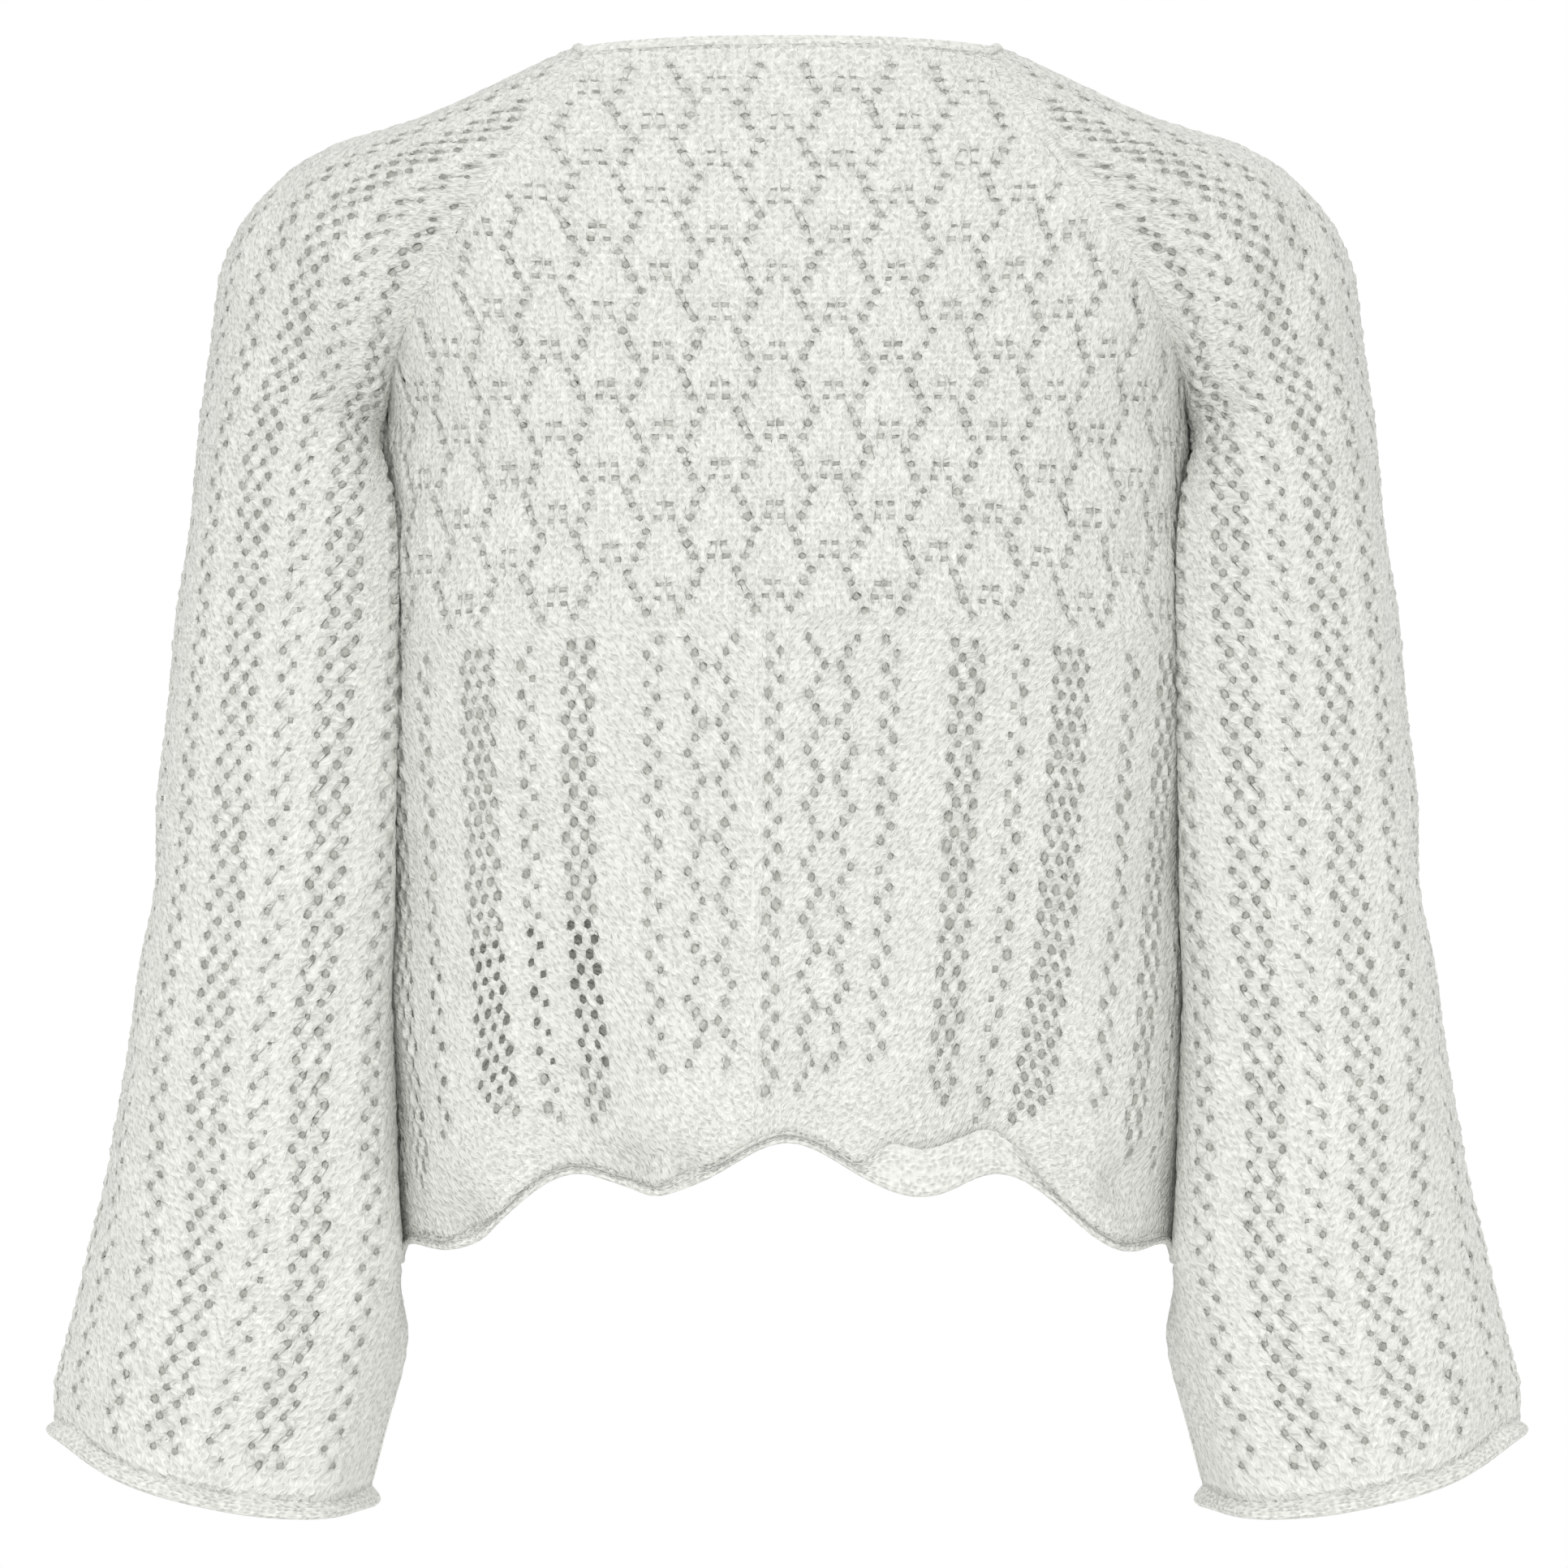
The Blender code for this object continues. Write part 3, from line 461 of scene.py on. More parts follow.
def sleeve_row(row):
    """A row of the right sleeve, from the back seam over the outer side to the front seam. Below the
    underarm it is a closed ring that starts and ends at the inner side."""
    turn = ACROSS
    if row <= 1.0:
        back, front = bezier(BACK_RAGLAN, row), bezier(FRONT_RAGLAN, row)
        chord = (front[1] - back[1]) / 2
        swell = ARC_FILL * chord + ARM[0][5] * row ** 4
        half_angle = np.radians(ARC_AT_NECK + (180.0 - ARC_AT_NECK) * row ** ARC_OPENING)
        lift = (np.cos(half_angle * turn) - np.cos(half_angle)) / (1.0 - np.cos(half_angle))
        apex = np.array(through(SHOULDER_LINE, row))
        base = (back[[0, 2]] + front[[0, 2]]) / 2
        slant = (front[[0, 2]] - back[[0, 2]]) / 2
        flat = base + lift[:, None] * (apex - base) + power(turn, 2.0)[:, None] * slant
        y = (back[1] + front[1]) / 2 + chord * turn + swell * np.sin(np.pi * turn)
        return evenly(np.stack([flat[:, 0], y, flat[:, 1]], axis=1), DENSE)
    outer_x, outer_z, inner_x, inner_z, half_depth, middle_y = through(ARM, row)
    in_arm = ease((row - 1.0) / ARM_ROUNDING)
    in_bell = ease((row - BELL_START) / (2.0 - BELL_START))
    roundness = 2.0 + (ARM_ROUNDNESS - 2.0) * in_arm + (CUFF_ROUNDNESS - ARM_ROUNDNESS) * in_bell
    lift = (1.0 + power(np.cos(np.pi * turn), 2.0 / roundness)) / 2
    depth = power(np.sin(np.pi * turn), 2.0 / roundness)
    x = inner_x + (outer_x - inner_x) * lift
    z = inner_z + (outer_z - inner_z) * lift - CUFF_SAG * (row - 1.0) ** 2 * np.sin(np.pi * turn) ** 2
    y = middle_y + half_depth * depth
    ring = np.stack([x, y, z], axis=1)
    return evenly(np.where(lift[:, None] < 0.5, beside_body(ring), ring), DENSE)


def fold_depth(places, folds):
    """How far soft folds sink at each place: each runs from one place to another."""
    depth = np.zeros(places.shape[:-1])
    for first_a, second_a, first_b, second_b, half_width, sink in folds:
        start = np.array([first_a, second_a])
        way = np.array([first_b, second_b]) - start
        from_start = places - start
        along = np.clip(from_start @ way / (way @ way), 0.0, 1.0)
        off = np.linalg.norm(from_start - along[..., None] * way, axis=-1)
        swell = np.sin(np.pi * (FOLD_END + (1 - 2 * FOLD_END) * along))
        depth += sink * np.exp(-(off / half_width) ** 2) * swell
    return depth


def outward_of(grid, inside):
    """The normals of a grid of rows, pointing away from a point inside each row."""
    normals = unit(np.cross(np.gradient(grid, axis=0), np.gradient(grid, axis=1)))
    return -normals if np.sum((grid - inside) * normals) < 0 else normals


def soften(grid, passes):
    """The same grid with each row drawn towards its neighbours, which rounds a kink between two rows."""
    for _ in range(passes):
        grid = np.concatenate([grid[:1], (grid[:-2] + 2 * grid[1:-1] + grid[2:]) / 4, grid[-1:]])
    return grid


class Form:
    """A piece's middle surface as rows of evenly spaced points, one row for each knit row."""

    def __init__(self, grid, normals, change_row=None, closed_row=None):
        self.grid, self.normals = grid, normals
        self.change_row, self.closed_row = change_row, closed_row
        self.half = np.array([run_along(row)[-1] / 2 for row in grid])

    def at(self, row, places):
        """Points and normals of one row at lengths from its middle."""
        run = np.linspace(-self.half[row], self.half[row], DENSE)
        return at_run(self.grid[row], run, places), unit(at_run(self.normals[row], run, places))


def panel_form(face, knit, edges):
    """The back or front from the neck down to the hem's roll."""
    last = 1.0 - edges.hem_roll / (UNDERARM[2] - HEM_Z)
    fine = np.concatenate([np.linspace(0.0, 1.0, 120), np.linspace(0.0, last, 160)[1:] + 1.0])
    middle = np.array([panel_row(face, place)[DENSE // 2] for place in fine])
    run = run_along(middle)
    change = np.interp(-PATTERN_CHANGE_Z, -middle[:, 2], run)
    yoke_rows = int(round(change / knit.yoke_row))
    body_rows = int(round((run[-1] - change) / knit.body_row))
    places = np.concatenate([
        np.linspace(0.0, change, yoke_rows + 1), np.linspace(change, run[-1], body_rows + 1)[1:]])
    rows = [panel_row(face, place) for place in np.interp(places, run, fine)]
    grid = soften(np.array(rows), UNDERARM_PASSES)
    middle = grid.mean(axis=1, keepdims=True) * (0.0, 0.0, 1.0) + (0.0, UNDERARM[1], 0.0)
    normals = outward_of(grid, middle)
    sink = fold_depth(np.abs(grid[..., [0, 2]]) * (1.0, -1.0), PANEL_FOLDS)
    for x, z, half_width, depth in HEM_DIPS[face]:
        off = np.hypot(grid[..., 0] - x, grid[..., 2] - z)
        sink += depth * np.exp(-(off / half_width) ** 2)
    grid = grid - normals * (sink * ease((1.0 - np.abs(ACROSS)) / FOLD_TO_SEAM))[..., None]
    return Form(grid, outward_of(grid, middle), change_row=yoke_rows)


def without_kink(grid, closed_row):
    """The same sleeve with a soft bend where its rows close to rings. Its raglan edges stay in place."""
    rows = np.arange(len(grid))[:, None, None] - closed_row
    to_edge = 1.0 - np.abs(ACROSS)[None, :, None]
    share = np.exp(-(rows / KINK_ROWS) ** 2) * ease(to_edge / KINK_EDGE)
    return grid + (soften(grid, KINK_PASSES) - grid) * share


def sleeve_form(knit, edges):
    """The right sleeve from the neck down to the cuff's roll."""
    last = 2.0 - edges.cuff_roll / (ARM[0][2] - ARM[-1][2])
    fine = np.linspace(0.0, last, 300)
    run = run_along(np.array([sleeve_row(row)[DENSE // 2] for row in fine]))
    count = int(round(run[-1] / knit.sleeve_row))
    places = np.interp(np.linspace(0.0, run[-1], count + 1), run, fine)
    closed_row = int(np.argmax(places >= 1.0))
    places[closed_row] = 1.0
    grid = np.array([sleeve_row(row) for row in places])
    rows, turns = np.meshgrid(places, ACROSS, indexing="ij")
    grid[closed_row:, -1] = grid[closed_row:, 0]
    normals = sleeve_outward(grid, closed_row)
    waves = CUFF_WAVE * np.sin(np.pi * (CUFF_WAVES * turns + CUFF_WAVE_SHIFT))
    waves *= ease((rows - CUFF_WAVE_START) / (2.0 - CUFF_WAVE_START))
    waves *= ease((1.0 - np.abs(turns)) / CUFF_WAVE_EDGE)
    folds = [(a, b * TURN_IN_ROWS, c, d * TURN_IN_ROWS, *rest) for a, b, c, d, *rest in SLEEVE_FOLDS]
    sink = fold_depth(np.stack([rows, turns * TURN_IN_ROWS], axis=-1), folds)
    grid = grid + normals * (waves - sink)[..., None]
    inner = (rows > 1.0) & (np.abs(turns) > 0.5)
    grid = without_kink(np.where(inner[..., None], beside_body(grid), grid), closed_row)
    grid[closed_row:, -1] = grid[closed_row:, 0]
    form = Form(grid, sleeve_outward(grid, closed_row), closed_row=closed_row)
    form.places = places
    return form


def mirrored_form(form):
    """The same form on the other side of the garment."""
    return Form(form.grid * FLIP, form.normals * FLIP, form.change_row, form.closed_row)


def sleeve_outward(grid, closed_row):
    """Outward normals of the sleeve, the same on both sides of its closed seam."""
    normals = outward_of(grid, grid.mean(axis=1, keepdims=True))
    seam = unit(normals[closed_row:, 0] + normals[closed_row:, -1])
    normals[closed_row:, 0] = seam
    normals[closed_row:, -1] = seam
    return normals


def band_holes(kind, centre, n, side):
    """Holes of one band of the lace in lace row n: place across in half stitches and size."""
    if kind == "diamond":
        return [(centre + part * DIAMOND[n % 4], DIAMOND_HOLE) for part in (-1, 1)]
    if kind == "single":
        place, size = SINGLE[n % 2]
        return [(centre + place * side, size)]
    parts, swing, size = SWINGING_BANDS[kind]
    return [(centre + (part + (swing if n % 2 else -swing)) * side, size) for part in parts]


def yoke_holes(row, change_row, cell_shift):
    """Holes of a lace row of the yoke."""
    m = -((change_row - 1 - row) // 2) % 6
    holes = []
    for k in range(-CELLS, CELLS + 1):
        side = 1 if k % 2 == 0 else -1
        middle = CELL * k + cell_shift
        holes.append((middle + CELL / 2 + side * ZIGZAG[m], ZIGZAG_HOLE))
        phase = (m if k % 2 == 0 else m + 3) % 6
        if phase in SMALL_PAIRS:
            holes += [(middle + part * SMALL_PAIRS[phase], PAIR_HOLE) for part in (-1, 1)]
    return holes


def arch_rise(row, column, change_row):
    """How far the yoke's arches stand out, from 0 to 1: each fills the upper part of a cell and widens
    downwards."""
    k = np.round(column / CELL)
    m = (-(change_row - 1 - row) / 2 + 3 * (np.abs(k) % 2)) % 6
    half_width = CELL / 2 + np.interp(m, range(6), ZIGZAG) - ARCH_INSET
    inside = np.clip(1.0 - np.abs(column - CELL * k) / np.maximum(half_width, 0.5), 0.0, 1.0)
    return np.where(m < ARCH_ROWS, np.sqrt(inside) * np.sin(np.pi * np.clip(m / ARCH_ROWS, 0, 1)) ** 0.5, 0.0)


def cloth_drift(points):
    """A slow unevenness of hand-washed cloth, from -1 to 1, the same for pieces that meet at a seam."""
    return sum(np.sin(points @ np.array(way) + shift) for way, shift in DRIFT_WAVES) / len(DRIFT_WAVES)


class StitchGrid:
    """The vertices of a knitted piece: one row for each knit row and two columns for each stitch."""

    def __init__(self, form, half_stitch, seed, off=None):
        """half_stitch is the width of half a stitch in each row, and off how far the pattern's middle is
        from the piece's."""
        rows = len(form.grid)
        self.rng = np.random.default_rng(seed)
        self.form, self.half_stitch = form, half_stitch
        self.off = np.zeros(rows) if off is None else off
        reach = int(np.ceil(((form.half + np.abs(self.off)) / half_stitch).max()))
        self.columns = np.arange(-reach, reach + 1)
        self.places = np.zeros((rows, len(self.columns)))
        points, normals = np.zeros((2, rows, len(self.columns), 3))
        for row in range(rows):
            half = form.half[row]
            places = self.columns * half_stitch[row] + self.off[row]
            at_edge = np.abs(places) > half - EDGE_SNAP * half_stitch[row]
            places = np.where(at_edge, np.sign(places) * half, places)
            self.places[row] = places
            points[row], normals[row] = form.at(row, places)
        self.points, self.normals = points, normals
        self.inside = np.abs(self.places) < form.half[:, None] - 1e-9
        self.shift = np.zeros((rows, len(self.columns), 2))     # across in columns, down in rows
        self.relief, self.hollow = np.zeros((2, rows, len(self.columns)))
        self.blind, self.slant = np.zeros((2, rows - 1, len(self.columns) - 1))
        self.open = np.zeros((rows - 1, len(self.columns) - 1), bool)

    def from_edge(self, row, centre):
        """How far a place of the pattern is from the nearer edge of the piece."""
        return self.form.half[row] - abs(centre * self.half_stitch[row] + self.off[row])

    def open_hole(self, row, centre, size, hole, blind=0.0):
        """Opens a hole between row and the next, rounds its edge and lets the yarn round it sink in. A hole
        with a share of shade is closed from behind by a thin floor, as a web of fibres would close it, and
        the floor's colour takes that share of painted shade in place of the dark inside of an open hole. hole
        is the width and height of a hole of size 1."""
        wide = size > WIDE_HOLE
        count = 3 if wide else 2
        c = int(np.round(centre - (count - 1) / 2)) - self.columns[0]
        if c < 1 or c + count >= len(self.columns) or row < 1 or row + 2 >= len(self.places):
            return
        span = slice(c, c + count)
        if self.open[row - 1:row + 2, max(c - 1, 0):c + count].any():
            return
        size *= 1.0 + HOLE_UNEVEN * np.clip(self.rng.normal(), -2.0, 2.0)
        centre += HOLE_UNEVEN * np.clip(self.rng.normal(), -2.0, 2.0)
        self.open[row, c:c + count - 1] = True
        self.blind[row, c:c + count - 1] = blind
        across = hole[0] / 2 * size / (self.places[row, c + 1] - self.places[row, c])
        down = hole[1] / 2 * size / np.linalg.norm(self.points[row + 1, c] - self.points[row, c])
        place = centre + np.linspace(-1, 1, count) * across
        tall = down * np.array(WIDE_OUTLINE if wide else NARROW_OUTLINE)
        for edge, way in ((row, -1), (row + 1, 1)):
            self.shift[edge, span, 0] = place - self.columns[span]
            self.shift[edge, span, 1] = way * (tall - 0.5)
            self.relief[edge, span] -= HOLE_SINK * size
            # The yarn round the hole is marked with its size, for the painted shade that the material puts
            # there
            self.hollow[edge, span] = size
            self.relief[edge + way, span] += HOLE_RIM
        self.relief[row:row + 2, [c - 1, c + count]] += HOLE_RIM

    def finished(self, knit):
        """The points after all shifts."""
        jitter = self.rng.normal(0.0, 1.0, self.shift.shape) * STITCH_JITTER
        shift = (self.shift + jitter) * self.inside[..., None]
        self.relief += self.rng.normal(0.0, knit.bumpiness, self.relief.shape) * self.inside
        shift[[0, -1]] = 0.0
        across = np.gradient(self.points, axis=1)
        down = np.gradient(self.points, axis=0)
        points = self.points + across * shift[..., :1] + down * shift[..., 1:]
        return points + self.normals * (knit.drift * cloth_drift(points))[..., None]


def knitted(name, grid, points):
    """A mesh of single faces from a stitch grid, with each vertex's relief and outward direction, each
    face's mark where a hole is, and stitches and rows as its UV map."""
    rows, columns = points.shape[:2]
    keys = np.round(points.reshape(-1, 3) / WELD).astype(np.int64)
    _, first, index = np.unique(keys, axis=0, return_index=True, return_inverse=True)
    index = index.reshape(rows, columns)
    corners = ((0, 0), (0, 1), (1, 1), (1, 0))
    quads = np.stack([index[r:rows - 1 + r, c:columns - 1 + c] for r, c in corners], axis=-1)
    edge = (grid.places - grid.off[:, None]) / grid.half_stitch[:, None]
    u = np.where(grid.inside, grid.columns, edge) / 2
    faces, uvs, is_open, pit_shades = [], [], [], []
    for r in range(rows - 1):
        for c in range(columns - 1):
            quad = quads[r, c]
            keep = [k for k in range(4) if quad[k] != quad[k - 1]]
            if len(keep) < 3 or len(set(quad[keep])) < 3:
                continue
            faces.append([int(quad[k]) for k in keep])
            is_open.append(bool(grid.open[r, c] and not grid.blind[r, c]))
            pit_shades.append(grid.blind[r, c])
            for down, across in (corners[k] for k in keep):
                uvs.append((u[r + down, c + across] + grid.slant[r, c] * (r + down), -(r + down)))
    mesh = mesh_of(name, points.reshape(-1, 3)[first].tolist(), faces, uvs)
    outward = grid.normals.reshape(-1, 3)[first]
    # The faces' share of shade at closed holes and the points' marks round holes go to the material, which
    # paints shade with them
    for attribute, kind, domain, field, values in (
            ("relief", "FLOAT", "POINT", "value", grid.relief.reshape(-1)[first]),
            ("outward", "FLOAT_VECTOR", "POINT", "vector", outward.ravel()),
            ("eyelet", "BOOLEAN", "FACE", "value", np.array(is_open)),
            ("blind", "FLOAT", "FACE", "value", np.array(pit_shades)),
            ("hollow", "FLOAT", "POINT", "value", grid.hollow.reshape(-1)[first])):
        mesh.attributes.new(attribute, kind, domain).data.foreach_set(field, values)
    facing = np.zeros(3 * len(faces))
    mesh.polygons.foreach_get("normal", facing)
    if np.sum(facing.reshape(-1, 3) * outward[[face[0] for face in faces]]) < 0:
        mesh.flip_normals()
    return mesh


def mesh_of(name, points, faces, uvs):
    """A mesh with its UV map."""
    mesh = bpy.data.meshes.new(name)
    mesh.from_pydata(points, [], faces)
    mesh.uv_layers.new(name="stitches").data.foreach_set("uv", np.array(uvs, np.float32).ravel())
    mesh.update()
    return mesh


def fill(tree, made, inputs):
    """Sets or links a node's inputs, each a value or a node or socket to link."""
    for name, value in inputs.items():
        if isinstance(value, bpy.types.Node):
            value = value.outputs[0]
        if isinstance(value, bpy.types.NodeSocket):
            tree.links.new(value, made.inputs[name])
        else:
            made.inputs[name].default_value = value


def node(tree, kind, inputs=None, **settings):
    """Adds a node with its settings and its inputs."""
    made = tree.nodes.new(kind)
    for name, value in settings.items():
        setattr(made, name, value)
    fill(tree, made, inputs or {})
    return made


def tree_with(name, inputs):
    """A Geometry Nodes tree with a geometry input and output and named inputs, and the inputs' sockets."""
    tree = bpy.data.node_groups.new(name, "GeometryNodeTree")
    for socket, kind in {"Geometry": "Geometry", **inputs, "Material": "Material"}.items():
        tree.interface.new_socket(socket, in_out="INPUT", socket_type="NodeSocket" + kind)
    tree.interface.new_socket("Geometry", in_out="OUTPUT", socket_type="NodeSocketGeometry")
    return tree, node(tree, "NodeGroupInput").outputs


def finished_tree(tree, geometry, material):
    """Ends a Geometry Nodes tree with real, smooth geometry in its material."""
    smooth = node(tree, "GeometryNodeSetShadeSmooth", {"Geometry": geometry})
    real = node(tree, "GeometryNodeRealizeInstances", {"Geometry": smooth})
    done = node(tree, "GeometryNodeSetMaterial", {"Geometry": real, "Material": material})
    node(tree, "NodeGroupOutput", {"Geometry": done})
    return tree


def lofted(name, rings, u, v, closed=False):
    """A closed mesh over rings of points: u runs along the rings and v round them, in the UV map."""
    count, sides = rings.shape[:2]
    faces, uvs = [], []
    for i in range(count if closed else count - 1):
        for k in range(sides):
            j, m = (i + 1) % count, (k + 1) % sides
            faces.append((i * sides + k, i * sides + m, j * sides + m, j * sides + k))
            uvs += [(u[i], v[k]), (u[i], v[k + 1]), (u[i + 1], v[k + 1]), (u[i + 1], v[k])]
    if not closed:
        for i, order in ((0, 1), (count - 1, -1)):
            cap = [i * sides + k for k in range(sides)][::-order]
            faces.append(cap)
            uvs += [(u[i], v[k % sides]) for k in cap]
    mesh = mesh_of(name, rings.reshape(-1, 3).tolist(), faces, uvs)
    if sum(mesh.vertices[face.vertices[0]].co.dot(face.normal) * face.area for face in mesh.polygons) < 0:
        mesh.flip_normals()
    mesh.shade_smooth()
    return mesh


def curl_profile(drop, radius, rise, off, thickness):
    """The outline of cloth that runs down, turns outwards and comes up again, as places out and down."""
    turn = np.linspace(0.0, np.pi, 8)[1:-1]
    up = np.linspace(0.0, 1.0, 6)
    lean = 2 * radius + (off + thickness - 2 * radius) * ease(up)
    line = np.concatenate([
        [(0.0, CURL_TOP), (0.0, drop * 0.5), (0.0, drop)],
        np.stack([radius * (1 - np.cos(turn)), drop + radius * np.sin(turn)], axis=1),
        np.stack([lean, drop - rise * up], axis=1),
    ])
    way = unit(np.gradient(line, axis=0))
    side = np.stack([way[:, 1], -way[:, 0]], axis=1) * thickness / 2
    tip = line[-1] + way[-1] * thickness * 0.45
    return np.concatenate([line + side, [tip], (line - side)[::-1]])


def curled_edge(name, edge, height, radius, rise, off, thickness, closed):
    """Cloth swept along an edge and curled outwards. From point to point the curl's radius changes, how far
    the cloth comes up again, and how far it stands off."""
    knit = bpy.context.scene.pullover_knit
    line, outward, down = edge
    drop = height - radius - knit.wall / 2
    outlines = np.array([curl_profile(*curl, thickness) for curl in zip(drop, radius, rise, off)])
    run = run_round(line) if closed else run_along(line)
    around = run_round(outlines[np.argmax(rise)]) / (CURL_STITCH * knit.body_stitch)
    mesh = lofted(name, swept(line, outward, down, outlines), run / knit.body_stitch, around, closed)
    mesh.materials.append(purl_side())
    return shown(name, mesh)


def along(form, side, order):
    """The first row of a piece with its normals and upward directions, in the order given."""
    grid = form.grid[:2, ::order] * (side, 1.0, 1.0)
    normals = form.normals[0, ::order] * (side, 1.0, 1.0)
    return np.stack([grid[0], normals, unit(grid[0] - grid[1])])[:, :-1]


def neck_loop(back, front, sleeve):
    """Points, outward and upward directions once round the neck."""
    parts = (along(back, 1, 1), along(sleeve, 1, 1), along(front, 1, -1), along(sleeve, -1, -1))
    loop = np.concatenate(parts, axis=1)
    for _ in range(3):
        loop[1:] = unit(np.roll(loop[1:], 1, axis=1) + 2 * loop[1:] + np.roll(loop[1:], -1, axis=1))
    return spaced(np.concatenate([loop, loop[:, :1]], axis=1), NECK_STEP, closed=True)


def last_row(form, closed):
    """Points, outward and downward directions along a piece's last row."""
    down = unit(form.grid[-1] - form.grid[-2])
    return spaced(np.stack([form.grid[-1], form.normals[-1], down]), EDGE_STEP, closed)


def beside_seam(form, underarm, side, inset, lift):
    """A line of points beside a piece's edge below the underarm's row, with their outward directions."""
    found = [form.at(row, np.array([side * (form.half[row] - inset)]))
             for row in range(underarm + 3, len(form.grid) - 1)]
    points, normals = (np.concatenate([pair[k] for pair in found]) for k in (0, 1))
    return points + normals * lift, normals


def seam_band(panel, sleeve, side, sleeve_side, edges, knit):
    """The soft ridge that the turned-in edges of a raglan seam press out, from neck to underarm."""
    underarm = int(np.argmax(panel.grid[:, side, 2] <= UNDERARM[2]))
    line, normals = panel.grid[:underarm + 1, side], panel.normals[:underarm + 1, side]
    rows = slice(sleeve.closed_row + 1)
    run, other_run = run_along(line), run_along(sleeve.grid[rows, sleeve_side])
    at_other = run / run[-1] * other_run[-1]
    normals = unit(normals + at_run(sleeve.normals[rows, sleeve_side], other_run, at_other))
    places = np.linspace(edges.neck_height, run[-1], int(run[-1] / EDGE_STEP))
    line, normals = at_run(line, run, places), unit(at_run(normals, run, places))
    across = unit(np.cross(normals, unit(np.gradient(line, axis=0))))
    turns = np.linspace(0.0, 2 * np.pi, RIDGE_SIDES + 1)
    uneven = 1 + 0.12 * cloth_drift(line * 4.0)
    out = knit.wall / 2 + np.sin(turns[:-1]) * edges.seam_thickness / 2
    beside = np.cos(turns[:-1]) * edges.seam_band / 2 * uneven[:, None]
    rings = swept(line, normals, across, np.stack(np.broadcast_arrays(out, beside), axis=-1))
    return lofted("seam band", rings, places / knit.sleeve_row, turns / (2 * np.pi) * RIDGE_STITCHES)


def loop_stitch(length, width):
    """One knit stitch: two tapered legs that meet in a point. It lies along X and faces Z."""
    ahead, reach, apart, spread, girth, taper = STITCH_LEG
    t = np.linspace(0.0, 1.0, len(taper))
    angles = np.linspace(0.0, 2 * np.pi, LEG_SIDES + 1)[:-1]
    ring = np.stack([0 * angles, np.cos(angles), 0.75 * np.sin(angles)], axis=1)
    meshes = []
    for side in (1, -1):
        off = side * width * (apart + spread * ease(t))
        middle = np.stack([length * (ahead - reach * t), off, 0 * t], axis=1)
        leg = middle[:, None] + (width * girth * np.array(taper))[:, None, None] * ring
        meshes.append(lofted("leg", leg, 3.0 * t, np.arange(LEG_SIDES + 1) / LEG_SIDES))
    return joined("loop stitch", meshes)


def joined(name, meshes):
    """One mesh of several, with their UV maps."""
    points, faces, uvs, start = [], [], [], 0
    for mesh in meshes:
        points += [vertex.co[:] for vertex in mesh.vertices]
        faces += [[start + k for k in face.vertices] for face in mesh.polygons]
        uvs += [corner.uv[:] for corner in mesh.uv_layers["stitches"].data]
        start += len(mesh.vertices)
    whole = mesh_of(name, points, faces, uvs)
    whole.shade_smooth()
    return whole


def stitched(name, lines, stitch, values):
    """Lays a stitch along open lines, each of points and their outward directions."""
    points, normals = (np.concatenate([line[k] for line in lines]) for k in (0, 1))
    edges, start = [], 0
    for line, _ in lines:
        edges += [(start + k, start + k + 1) for k in range(len(line) - 1)]
        start += len(line)
    mesh = bpy.data.meshes.new(name)
    mesh.from_pydata(points.tolist(), edges, [])
    mesh.attributes.new("outward", "FLOAT_VECTOR", "POINT").data.foreach_set("vector", normals.ravel())
    shape = shown(name + "_shape", stitch)
    tree = bpy.data.node_groups.get("row of stitches") or stitch_row_tree()
    piece = grown(shown(name, mesh), tree, {"Stitch": shape, "Material": seam_yarn(), **values})
    bpy.data.objects.remove(shape)
    return piece


def knit_wall_tree():
    """Gives a knitted face mesh its relief and its thickness, and opens or closes the holes of the lace."""
    tree, given = tree_with("knit wall", dict.fromkeys(("Wall thickness", "Relief", "Blind depth"), "Float"))
    relief = node(tree, "GeometryNodeInputNamedAttribute", {"Name": "relief"}, data_type="FLOAT")
    outward = node(tree, "GeometryNodeInputNamedAttribute", {"Name": "outward"}, data_type="FLOAT_VECTOR")
    eyelet = node(tree, "GeometryNodeInputNamedAttribute", {"Name": "eyelet"}, data_type="BOOLEAN")
    blind = node(tree, "GeometryNodeInputNamedAttribute", {"Name": "blind"}, data_type="FLOAT")
    rise = node(tree, "ShaderNodeMath", {0: relief, 1: given["Relief"]}, operation="MULTIPLY")
    inner = node(tree, "ShaderNodeMath", {0: given["Wall thickness"], 1: -0.5, 2: rise},
                 operation="MULTIPLY_ADD")
    offset = node(tree, "ShaderNodeVectorMath", {0: outward, "Scale": inner}, operation="SCALE")
    placed = node(tree, "GeometryNodeSetPosition", {"Geometry": given["Geometry"], "Offset": offset})
    lace = node(tree, "GeometryNodeDeleteGeometry", {"Geometry": placed, "Selection": eyelet}, domain="FACE")
    thick = node(tree, "GeometryNodeExtrudeMesh", {
        "Mesh": lace, "Offset": outward, "Offset Scale": given["Wall thickness"], "Individual": False,
    }, mode="FACES")
    # A face with a share of shade is a closed hole: its floor is pushed in to a pit, which the material
    # paints in shade
    pit = node(tree, "FunctionNodeBooleanMath", {0: thick.outputs["Top"], 1: blind}, operation="AND")
    depth = node(tree, "ShaderNodeMath", {0: given["Blind depth"], 1: -1.0}, operation="MULTIPLY")
    pitted = node(tree, "GeometryNodeExtrudeMesh", {
        "Mesh": thick, "Selection": pit, "Offset": outward, "Offset Scale": depth, "Individual": False,
    }, mode="FACES")
    inside = node(tree, "GeometryNodeFlipFaces", {"Mesh": lace})
    both = node(tree, "GeometryNodeJoinGeometry", {"Geometry": inside})
    fill(tree, both, {"Geometry": pitted})
    closed = node(tree, "GeometryNodeMergeByDistance", {"Geometry": both, "Distance": 1e-6})
    return finished_tree(tree, closed, given["Material"])


